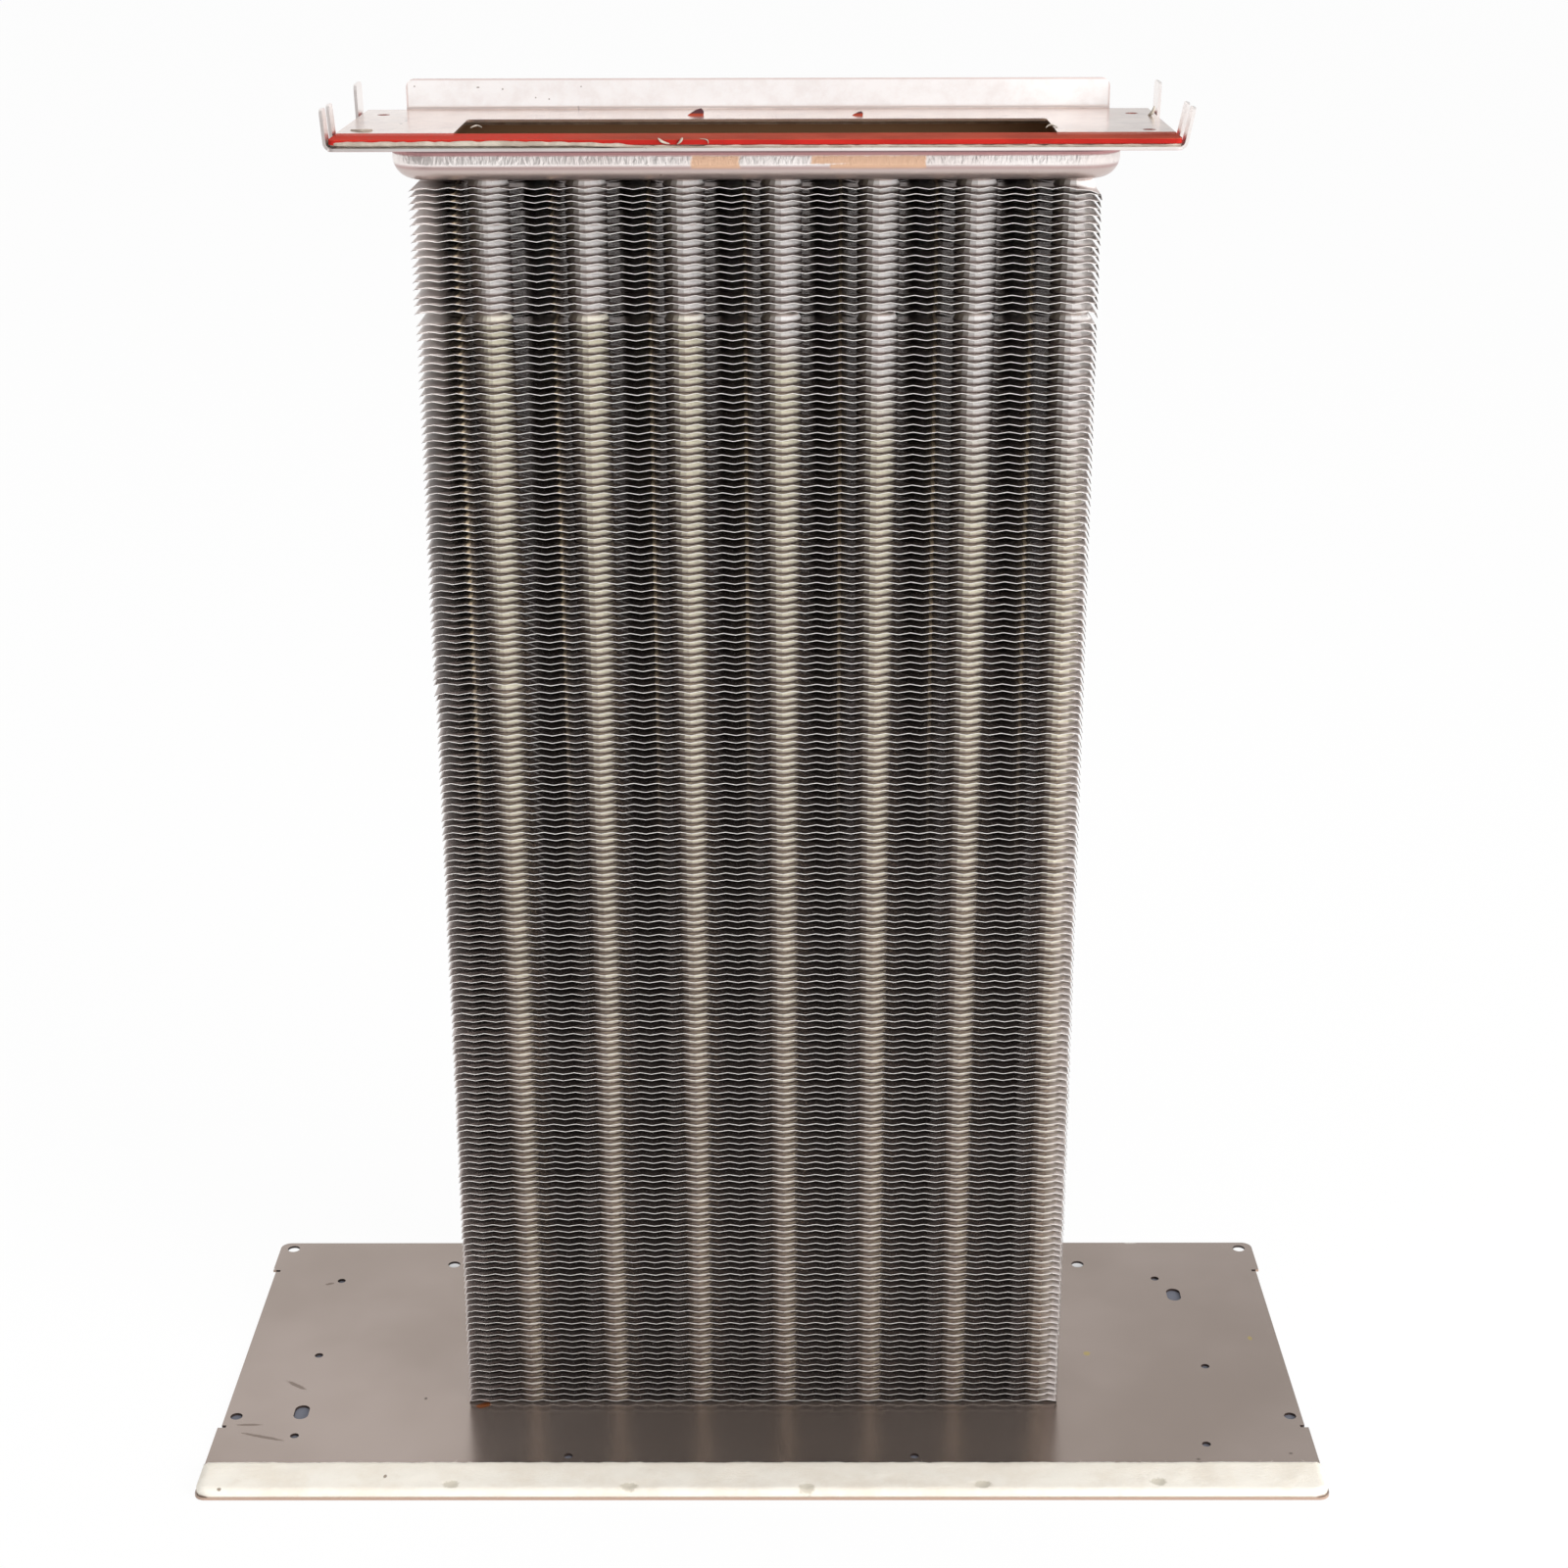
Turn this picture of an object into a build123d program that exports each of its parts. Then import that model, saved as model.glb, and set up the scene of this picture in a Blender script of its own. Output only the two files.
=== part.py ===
# Furnace heat exchanger: a finned condensing core that stands on its vestibule panel and carries
# an open flanged header tray. Millimetres, +Z up along the tubes. The origin is the middle of the
# panel's underside and the front of the object faces -Y.

import os
from math import radians, tan

from build123d import *

# Core: two staggered rows of tubes, and the fins they carry
tube_pitch = 31.75
row_pitch = 19.05
tubes_in_row = 7
tube_outside = 11.1
tube_wall = 0.5
fin_count = 176
fin_pitch = 2.58
fin_thickness = 0.2
fin_stacks = 4
first_fin_rise = 1.0
fin_seat_clearance = 0.15

# Straight sides that draw the circle of each tube, tube seat, screw hole and clamping hole
round_sides = 12

# Vestibule panel and the felt strip along its front edge
panel_width = 406.4
panel_depth = 182.8
panel_sheet = 1.0
panel_corner_radius = 4.0
core_setback = 61.2
tube_seat_clearance = 0.1
side_slit_width = 1.5
side_slit_depth = 3.0
side_edge_inset = 1.3
front_slit_setback = 45.5
rear_slit_margin = 23.0
felt_width = 19.0
felt_thickness = 3.2
felt_corner_radius = 5.0
felt_end_inset = 0.4

# Panel holes: sizes, then places inwards from the side edge and from the front or rear edge
corner_hole = 5.0
side_hole = 4.5
screw_hole = 3.2
slot_width = 5.5
slot_length = 9.3
corner_hole_inset = 5.5
corner_hole_margin = 4.8
rear_hole_inset = 74.2
rear_hole_margin = 17.8
side_hole_inset = 5.6
side_hole_setback = 52.3
left_screw_inset = 29.6
left_screw_setbacks = (39.4, 94.9)
left_rear_screw_margin = 31.0
right_screw_places = ((39.6, 33.7), (32.5, 86.8))
right_rear_screw_inset = 43.7
right_rear_screw_margin = 29.5
front_screw_setback = 26.2
front_screw_offsets = (-71.0, 55.7)
left_slot_setback = 55.1
right_slot_inset = 37.7
right_slot_margin = 42.3

# Header tray: a drawn pan with a flat flange, and fingers bent up at the flange's two ends
header_gap = 2.6
tray_sheet = 1.0
pan_rise = 11.7
pan_margin = 6.4
pan_corner_radius = 14.0
pan_edge_radius = 7.0
flange_margin = 16.5
flange_corner_radius = 2.5
tube_projection = 1.5
finger_bend = 1.6
finger_relief = 0.6
finger_tip_radius = 2.0
front_finger_width = 7.2
front_finger_height = 12.8
front_finger_inset = 1.6
second_finger_inset = 15.5
rear_finger_width = 12.0
rear_finger_height = 13.9
rear_finger_inset = 1.6
left_lean = 4.0
right_lean = 11.0
rear_lean = 1.5

# Layers on the flange: sealant, gasket and plate
sealant_thickness = 1.0
sealant_setback = 2.0
gasket_thickness = 1.6
gasket_setback = 0.6
layer_corner_radius = 2.0
plate_sheet = 0.8
plate_end_inset = 1.5
plate_setback = 11.6
window_width = 190.5
window_rear_rim = 32.7
window_corner_radius = 2.0
upstand_height = 10.1
upstand_width = 239.0
upstand_bend = 0.7
upstand_corner_radius = 3.0
clamp_hole = 4.2
clamp_hole_end_margin = 9.025
clamp_hole_row_margin = 17.95

# Sizes that follow from the ones above
front_edge = -panel_depth / 2
rear_edge = panel_depth / 2
left_edge = -panel_width / 2
right_edge = panel_width / 2
core_width = tubes_in_row * tube_pitch
core_depth = 2 * row_pitch
core_middle = front_edge + core_setback + core_depth / 2
first_fin_base = panel_sheet + first_fin_rise
core_top = first_fin_base + (fin_count - 1) * fin_pitch + fin_thickness
pan_base = core_top + header_gap
pan_inner_slope = 3 / 4 * (pan_edge_radius - tray_sheet)
flange_base = pan_base + pan_rise
flange_top = flange_base + tray_sheet
sealant_top = flange_top + sealant_thickness
gasket_top = sealant_top + gasket_thickness
pan_length = core_width + 2 * pan_margin
pan_depth = core_depth + 2 * pan_margin
flange_length = pan_length + 2 * flange_margin
flange_depth = pan_depth + 2 * flange_margin
flange_front = core_middle - flange_depth / 2
flange_rear = core_middle + flange_depth / 2
tube_length = pan_base + tray_sheet + tube_projection

# The front row sits a quarter pitch to the right of the middle, the rear row a quarter to the left
rows = {
    "front": (tube_pitch / 4, core_middle - row_pitch / 2),
    "rear": (-tube_pitch / 4, core_middle + row_pitch / 2),
}


def tube_places(row):
    """Centres of one row of tubes, from left to right."""
    shift, row_line = rows[row]
    first = shift - (tubes_in_row - 1) / 2 * tube_pitch
    return [(first + n * tube_pitch, row_line) for n in range(tubes_in_row)]


def light_circle(diameter):
    """A circle drawn with straight sides inside it, which keeps a tube that repeats light."""
    return RegularPolygon(diameter / 2, round_sides)


def light_hole(diameter):
    """The same for a hole, with the sides outside the circle, so that a round bar still passes."""
    return RegularPolygon(diameter / 2, round_sides, major_radius=False)


def placed(outline, places):
    return Sketch() + [Pos(x, y) * outline for x, y in places]


def sheet(outline, base, thickness):
    """A flat outline made into a sheet whose underside is at the given height."""
    return Pos(0, 0, base) * extrude(outline, thickness)


def solid_of(shape):
    """The one solid that an operation leaves."""
    return shape.solids()[0]


def tube_seats():
    """Holes that both rows of tubes pass through, in the panel and in the tray's floor."""
    places = tube_places("front") + tube_places("rear")
    return placed(light_hole(tube_outside + 2 * tube_seat_clearance), places)


# Tubes and fins
def tube(x, y):
    section = light_circle(tube_outside) - light_circle(tube_outside - 2 * tube_wall)
    return Pos(x, y) * extrude(section, tube_length)


def fin():
    """The lowest fin: one slot takes in both rows of tubes, which bear on its sides and ends."""
    tube_room = tube_outside + 2 * fin_seat_clearance
    slot = Rectangle((tubes_in_row - 1 / 2) * tube_pitch + tube_room, row_pitch + tube_room)
    outline = Pos(0, core_middle) * (Rectangle(core_width, core_depth) - slot)
    return solid_of(sheet(outline, first_fin_base, fin_thickness))


def fin_stack(stack):
    """The fins of one stack, as separate solids one above the other."""
    lowest_fin = fin()
    members = [n for n in range(fin_count) if n * fin_stacks // fin_count == stack]
    return Compound(children=[lowest_fin.moved(Location((0, 0, n * fin_pitch))) for n in members])


# Vestibule panel
def panel_outline():
    """The sides step in between two slits at each end of the panel."""
    outline = RectangleRounded(panel_width, panel_depth, panel_corner_radius)
    front_slit = front_edge + front_slit_setback
    rear_slit = rear_edge - rear_slit_margin
    step = Rectangle(2 * side_edge_inset, rear_slit - front_slit)
    slit = Rectangle(2 * side_slit_depth, side_slit_width)
    for side in (left_edge, right_edge):
        outline -= Pos(side, (front_slit + rear_slit) / 2) * step
        outline -= [Pos(side, y) * slit for y in (front_slit, rear_slit)]
    return outline


def mirrored_pair(x, y):
    return [(-x, y), (x, y)]


def panel_holes():
    corner_places = mirrored_pair(right_edge - corner_hole_inset, rear_edge - corner_hole_margin)
    corner_places += mirrored_pair(right_edge - rear_hole_inset, rear_edge - rear_hole_margin)
    side_places = mirrored_pair(right_edge - side_hole_inset, front_edge + side_hole_setback)
    left_line = left_edge + left_screw_inset
    screw_places = [(left_line, front_edge + setback) for setback in left_screw_setbacks]
    screw_places += [(left_line, rear_edge - left_rear_screw_margin)]
    screw_places += [(right_edge - inset, front_edge + setback) for inset, setback in right_screw_places]
    screw_places += [(right_edge - right_rear_screw_inset, rear_edge - right_rear_screw_margin)]
    screw_places += [(x, front_edge + front_screw_setback) for x in front_screw_offsets]
    slot = SlotOverall(slot_length, slot_width, rotation=90)
    holes = placed(Circle(corner_hole / 2), corner_places)
    holes += placed(Circle(side_hole / 2), side_places)
    holes += placed(light_hole(screw_hole), screw_places)
    holes += Pos(left_line, front_edge + left_slot_setback) * slot
    holes += Pos(right_edge - right_slot_inset, rear_edge - right_slot_margin) * slot
    return holes


def vestibule_panel():
    return extrude(panel_outline() - tube_seats() - panel_holes(), panel_sheet)


def panel_gasket():
    """Felt strip with rounded front corners, flush with the panel's front edge."""
    strip = Rectangle(panel_width - 2 * felt_end_inset, felt_width)
    strip = fillet(strip.vertices().sort_by(Axis.Y)[:2], felt_corner_radius)
    return sheet(Pos(0, front_edge + felt_width / 2) * strip, panel_sheet, felt_thickness)


# Header tray
def pan_opening():
    length = pan_length - 2 * tray_sheet
    depth = pan_depth - 2 * tray_sheet
    return RectangleRounded(length, depth, pan_corner_radius - tray_sheet)


def clamp_holes(outline):
    """Four holes of the given outline, in line through the tray and every layer on it."""
    reach = flange_length / 2 - clamp_hole_end_margin
    places = mirrored_pair(reach, flange_front + clamp_hole_row_margin)
    places += mirrored_pair(reach, flange_rear - clamp_hole_row_margin)
    return placed(outline, places)


def flange_layer(setback, corner_radius):
    """A ring as large as the flange less a setback, open over the pan and pierced for clamping."""
    ring = RectangleRounded(flange_length - 2 * setback, flange_depth - 2 * setback, corner_radius)
    return Pos(0, core_middle) * (ring - pan_opening()) - clamp_holes(light_hole(clamp_hole))


def pan():
    """The drawn pan up to the flange's top, rounded outside and sloped inside at its bottom edge."""
    height = pan_rise + tray_sheet
    outside = extrude(RectangleRounded(pan_length, pan_depth, pan_corner_radius), height)
    outside = fillet(outside.faces().sort_by(Axis.Z)[0].edges(), pan_edge_radius)
    inside = Pos(0, 0, tray_sheet) * extrude(pan_opening(), height)
    inside = chamfer(inside.faces().sort_by(Axis.Z)[0].edges(), pan_inner_slope)
    return Pos(0, core_middle, pan_base) * (outside - inside)


def finger(start, width, height, lean):
    """A tab of the flange's right end, bent up and leaning outwards by some degrees."""
    middle = flange_base + tray_sheet / 2
    knee = flange_length / 2 + tray_sheet / 2
    rise = height - tray_sheet / 2
    route = FilletPolyline(
        (knee - 2 * (finger_bend + tray_sheet), middle),
        (knee, middle),
        (knee + rise * tan(radians(lean)), middle + rise),
        radius=finger_bend + tray_sheet / 2,
    )
    tab = extrude(Plane.XZ * trace(route, tray_sheet), width, dir=(0, 1, 0))
    tip_edges = tab.faces().sort_by(Axis.Z)[-1].edges().sort_by(SortBy.LENGTH)[:2]
    return Pos(0, start) * fillet(tip_edges, finger_tip_radius)


def end_reliefs(start, width):
    """Cut at the flange's right end that frees one finger's bend."""
    bend_run = finger_bend + tray_sheet
    cut = Box(2 * bend_run, width + 2 * finger_relief, 2 * tray_sheet)
    return Pos(flange_length / 2 + tray_sheet, start + width / 2, flange_base) * cut


def header_tray():
    second_start = flange_front + second_finger_inset
    rear_start = flange_rear - rear_finger_inset - rear_finger_width
    front_start = flange_front + front_finger_inset
    tray = sheet(flange_layer(0, flange_corner_radius), flange_base, tray_sheet) + pan()
    tray -= extrude(tube_seats(), pan_base + 2 * tray_sheet)
    for front_lean, mirror_side in ((right_lean, False), (left_lean, True)):
        fingers = (
            (front_start, front_finger_width, front_finger_height, front_lean),
            (second_start, front_finger_width, front_finger_height, front_lean),
            (rear_start, rear_finger_width, rear_finger_height, rear_lean),
        )
        for start, width, height, lean in fingers:
            relief = end_reliefs(start, width)
            tab = finger(start, width, height, lean)
            if mirror_side:
                relief = mirror(relief, Plane.YZ)
                tab = mirror(tab, Plane.YZ)
            tray = tray - relief + tab
    return tray


# Layers on the flange
def header_sealant():
    return sheet(flange_layer(sealant_setback, layer_corner_radius), flange_top, sealant_thickness)


def header_gasket():
    return sheet(flange_layer(gasket_setback, layer_corner_radius), sealant_top, gasket_thickness)


def upstand():
    """The plate's rear edge bent up square, with rounded top corners."""
    middle = gasket_top + plate_sheet / 2
    back = flange_rear - plate_sheet / 2
    bend = upstand_bend + plate_sheet / 2
    top = gasket_top + plate_sheet + upstand_height
    route = FilletPolyline((back - 2 * bend, middle), (back, middle), (back, top), radius=bend)
    wall = extrude(Plane.YZ * trace(route, plate_sheet), upstand_width / 2, both=True)
    top_corners = wall.edges().filter_by(Axis.Y).sort_by(Axis.Z)[-2:]
    return fillet(top_corners, upstand_corner_radius)


def header_plate():
    """A bright sheet whose window is open to the front, with an upstand along the rear edge."""
    front = flange_front + plate_setback
    rear = flange_rear - plate_sheet - upstand_bend
    length = flange_length - 2 * plate_end_inset
    outline = Pos(0, (front + rear) / 2) * Rectangle(length, rear - front)
    window_rear = flange_rear - window_rear_rim
    window_run = 2 * (window_rear - front)
    outline -= Pos(0, front) * RectangleRounded(window_width, window_run, window_corner_radius)
    outline -= clamp_holes(Circle(clamp_hole / 2))
    return sheet(outline, gasket_top, plate_sheet) + upstand()


nodes = {
    "vestibule_panel": vestibule_panel(),
    "panel_gasket": panel_gasket(),
    "header_tray": header_tray(),
    "header_sealant": header_sealant(),
    "header_gasket": header_gasket(),
    "header_plate": header_plate(),
}
for stack in range(fin_stacks):
    nodes[f"fin_stack_{stack + 1}"] = fin_stack(stack)
for row in rows:
    for number, (x, y) in enumerate(tube_places(row), start=1):
        nodes[f"tube_{row}_{number}"] = tube(x, y)

os.makedirs("parts", exist_ok=True)
for name, shape in nodes.items():
    export_step(shape, f"parts/{name}.step")
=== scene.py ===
import math

import bpy
from mathutils import Euler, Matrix, Quaternion, Vector, noise


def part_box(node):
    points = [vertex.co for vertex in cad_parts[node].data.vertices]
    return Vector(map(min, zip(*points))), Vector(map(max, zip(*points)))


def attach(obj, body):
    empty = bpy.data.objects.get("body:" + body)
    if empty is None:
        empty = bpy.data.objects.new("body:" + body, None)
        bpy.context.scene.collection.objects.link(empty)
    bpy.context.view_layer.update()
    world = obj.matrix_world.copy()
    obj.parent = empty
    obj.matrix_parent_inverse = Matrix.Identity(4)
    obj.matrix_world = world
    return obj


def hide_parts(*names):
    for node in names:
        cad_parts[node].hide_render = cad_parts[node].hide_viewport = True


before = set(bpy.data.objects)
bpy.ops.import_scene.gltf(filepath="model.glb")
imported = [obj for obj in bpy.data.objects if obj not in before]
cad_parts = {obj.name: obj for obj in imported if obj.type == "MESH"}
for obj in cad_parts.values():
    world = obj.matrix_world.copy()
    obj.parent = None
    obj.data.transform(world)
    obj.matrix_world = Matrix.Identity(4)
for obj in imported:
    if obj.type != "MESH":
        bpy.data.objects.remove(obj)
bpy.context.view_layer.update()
mm = 0.001
print("frame loaded:", len(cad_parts), "nodes")


def operator(operation, reflected=False):
    def run(wire, value=0.0):
        first, second = (value, wire) if reflected else (wire, value)
        return wire.graph.maths(operation, first, second)

    return run


class Wire:  # an output socket that can be added to, multiplied and so on
    __add__, __radd__ = operator("ADD"), operator("ADD", reflected=True)
    __sub__, __rsub__ = operator("SUBTRACT"), operator("SUBTRACT", reflected=True)
    __mul__, __rmul__ = operator("MULTIPLY"), operator("MULTIPLY", reflected=True)
    __truediv__, __rtruediv__ = operator("DIVIDE"), operator("DIVIDE", reflected=True)
    __pow__ = operator("POWER")
    __abs__ = operator("ABSOLUTE")
    __gt__, __lt__ = operator("GREATER_THAN"), operator("LESS_THAN")

    def __init__(self, graph, socket):
        self.graph = graph
        self.socket = socket

    def other(self, name):  # another output of the same node
        return Wire(self.graph, self.socket.node.outputs[name])


nodeGrid = {"columns": 12, "width": 190, "height": 240}  # how the nodes lie in the editor


class Graph:  # adds nodes to a tree
    def __init__(self, tree):
        self.tree = tree

    def node(self, kind, settings=None, sockets=None, output=0):
        made = self.tree.nodes.new(kind)
        row, column = divmod(len(self.tree.nodes), nodeGrid["columns"])
        made.location = (column * nodeGrid["width"], -row * nodeGrid["height"])
        for name, value in (settings or {}).items():
            setattr(made, name, value)
        self.fill(made, sockets or {})
        return Wire(self, made.outputs[output])

    def fill(self, made, sockets):  # a wire is linked, any other value is set
        for name, value in sockets.items():
            if isinstance(value, Wire):
                self.tree.links.new(value.socket, made.inputs[name])
            else:
                made.inputs[name].default_value = value

    def maths(self, operation, first, second=0.0, third=0.0):
        return self.node("ShaderNodeMath", {"operation": operation}, {0: first, 1: second, 2: third})

    def larger(self, first, second):
        return self.maths("MAXIMUM", first, second)

    def vectorMaths(self, operation, first, second):
        return self.node("ShaderNodeVectorMath", {"operation": operation}, {0: first, 1: second})

    def scaled(self, vector, amount):
        return self.node("ShaderNodeVectorMath", {"operation": "SCALE"}, {0: vector, "Scale": amount})

    def vector(self, **parts):  # from its X, Y and Z
        return self.node("ShaderNodeCombineXYZ", sockets=parts)

    def split(self, vector):  # gives X, which has Y and Z beside it
        return self.node("ShaderNodeSeparateXYZ", sockets={"Vector": vector})

    def fade(self, value, start, end):  # 0 at start, 1 at end, smooth between
        return self.node("ShaderNodeMapRange", {"interpolation_type": "SMOOTHSTEP"},
                         {"Value": value, "From Min": start, "From Max": end})

    def between(self, value, low, high, soft):  # 1 from low to high, soft at both ends
        return self.fade(value, low - soft, low + soft) * (1 - self.fade(value, high - soft, high + soft))

    def mix(self, mask, under, over):  # the colour over shows where mask is 1
        return self.node("ShaderNodeMix", {"data_type": "RGBA"}, {0: mask, 6: under, 7: over}, output=2)


def rgb(red, green, blue):  # a screen colour, 0 to 255, as the linear one that nodes take
    def linear(part):
        part = part / 255
        return part / 12.92 if part <= 0.04045 else ((part + 0.055) / 1.055) ** 2.4

    return (linear(red), linear(green), linear(blue), 1)


class Paint(Graph):  # a material with one Principled shader
    def __init__(self, name):
        self.material = bpy.data.materials.new(name)
        self.material.use_nodes = True
        super().__init__(self.material.node_tree)
        self.shader = self.tree.nodes["Principled BSDF"]
        self.place = self.node("ShaderNodeTexCoord", output="Object")
        self.x = self.split(self.place)
        self.y = self.x.other("Y")
        self.z = self.x.other("Z")
        self.facing = self.split(self.node("ShaderNodeNewGeometry", output="Normal"))

    def noise(self, scale, detail, roughness, stretch=(1, 1, 1), twist=0):
        place = self.node("ShaderNodeMapping", sockets={"Vector": self.place, "Scale": stretch})
        return self.node("ShaderNodeTexNoise", sockets={
            "Vector": place, "Scale": scale, "Detail": detail, "Roughness": roughness, "Distortion": twist})

    def cloudy(self, cloud, first, second, start=0.35, end=0.7):  # drifts from one colour to another
        return self.mix(self.fade(cloud, start, end), first, second)

    def layers(self, colour, look, masks):  # colours of the look, each over the ones before
        for name, mask in masks.items():
            colour = self.mix(mask, colour, look[name])
        return colour

    def spot(self, spot, ragged, rise=None):  # an oval mark: x, y (or z), half sizes, turn in degrees
        x, y, length, width, turn = spot
        turned = math.radians(turn)
        dx = self.x - x * mm
        dy = (self.y if rise is None else rise) - y * mm
        along = (dx * math.cos(turned) + dy * math.sin(turned)) / (length * mm)
        across = (dy * math.cos(turned) - dx * math.sin(turned)) / (width * mm)
        away = (along * along + across * across) ** 0.5 + ragged
        return 1 - self.fade(away, 0.7, 1.1)

    def spots(self, spots, ragged, rise=None):
        mask = self.spot(spots[0], ragged, rise)
        for spot in spots[1:]:
            mask = self.larger(mask, self.spot(spot, ragged, rise))
        return mask

    def upright(self):  # 1 where the surface stands, 0 where it lies
        return 1 - self.fade(abs(self.facing.other("Z")), 0.3, 0.65)

    def bump(self, height, strength, depth, under=None):
        sockets = {"Height": height, "Strength": strength, "Distance": depth}
        if under is not None:
            sockets["Normal"] = under
        return self.node("ShaderNodeBump", sockets=sockets)

    def finish(self, sockets):
        self.fill(self.shader, sockets)
        return self.material


socketKinds = {int: "Int", float: "Float", tuple: "Vector"}  # an object or a material gives its own


class Recipe(Graph):  # a geometry node tree with named inputs
    def __init__(self, name, inputs):
        tree = bpy.data.node_groups.new(name, "GeometryNodeTree")
        super().__init__(tree)
        self.inputs = inputs
        self.identifiers = {}
        for label, value in inputs.items():
            kind = socketKinds.get(type(value), type(value).__name__)
            socket = tree.interface.new_socket(label, in_out="INPUT", socket_type="NodeSocket" + kind)
            self.identifiers[label] = socket.identifier
        tree.interface.new_socket("Geometry", in_out="OUTPUT", socket_type="NodeSocketGeometry")
        self.start = tree.nodes.new("NodeGroupInput")
        self.end = tree.nodes.new("NodeGroupOutput")

    def given(self, label):
        return Wire(self, self.start.outputs[label])

    def shapeOf(self, label):  # the mesh of a given object
        return self.node("GeometryNodeObjectInfo", {"transform_space": "ORIGINAL"},
                         {"Object": self.given(label)}, output="Geometry")

    def attribute(self, name):
        return self.node("GeometryNodeInputNamedAttribute", {"data_type": "FLOAT"}, {"Name": name})

    def anyVector(self, least, most, seed):
        return self.node("FunctionNodeRandomValue", {"data_type": "FLOAT_VECTOR"},
                         {0: least, 1: most, "Seed": seed})

    def wobble(self, position, scale, detail):  # waves about zero
        return self.node("ShaderNodeTexNoise", sockets={
            "Vector": position, "Scale": scale, "Detail": detail}) - 0.5

    def moved(self, shape, offset):
        return self.node("GeometryNodeSetPosition", sockets={"Geometry": shape, "Offset": offset})

    def finish(self, shape):  # instances are made real and get their material
        real = self.node("GeometryNodeRealizeInstances", sockets={"Geometry": shape})
        dressed = self.node("GeometryNodeSetMaterial", sockets={
            "Geometry": real, "Material": self.given("Material")})
        self.fill(self.end, {0: dressed})

    def grow(self, thing):  # runs the tree on a thing and keeps the result as its plain mesh
        modifier = thing.modifiers.new(self.tree.name, "NODES")
        modifier.node_group = self.tree
        for label, value in self.inputs.items():
            modifier[self.identifiers[label]] = value
        plain = plainMesh(thing)
        thing.modifiers.remove(modifier)
        thing.data = plain
        return thing


def plainMesh(thing):  # the thing as it looks now, as a mesh of its own
    graph = bpy.context.evaluated_depsgraph_get()
    return bpy.data.meshes.new_from_object(thing.evaluated_get(graph), depsgraph=graph)


def addThing(name, data):
    thing = bpy.data.objects.new(name, data)
    bpy.context.scene.collection.objects.link(thing)
    return thing


def newThing(name, points=(), faces=(), smooth=False, material=None):
    mesh = bpy.data.meshes.new(name)
    mesh.from_pydata([tuple(point) for point in points], [], [tuple(face) for face in faces])
    mesh.polygons.foreach_set("use_smooth", [smooth] * len(mesh.polygons))
    if material:
        mesh.materials.append(material)
    return addThing(name, mesh)


def remove(thing):
    mesh = thing.data
    bpy.data.objects.remove(thing)
    bpy.data.meshes.remove(mesh)


def ringFaces(rings, rows):  # joins closed outlines of so many points into a closed ring
    faces = []
    for ring in range(rings):
        here, there = ring * rows, (ring + 1) % rings * rows
        for row in range(rows):
            after = (row + 1) % rows
            faces.append((here + row, there + row, there + after, here + after))
    return faces


def place(piece, slot, *nodes):  # rides on the frame; the nodes it stands for are hidden
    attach(piece, "root")
    if nodes:
        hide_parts(*nodes)
    return piece


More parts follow.
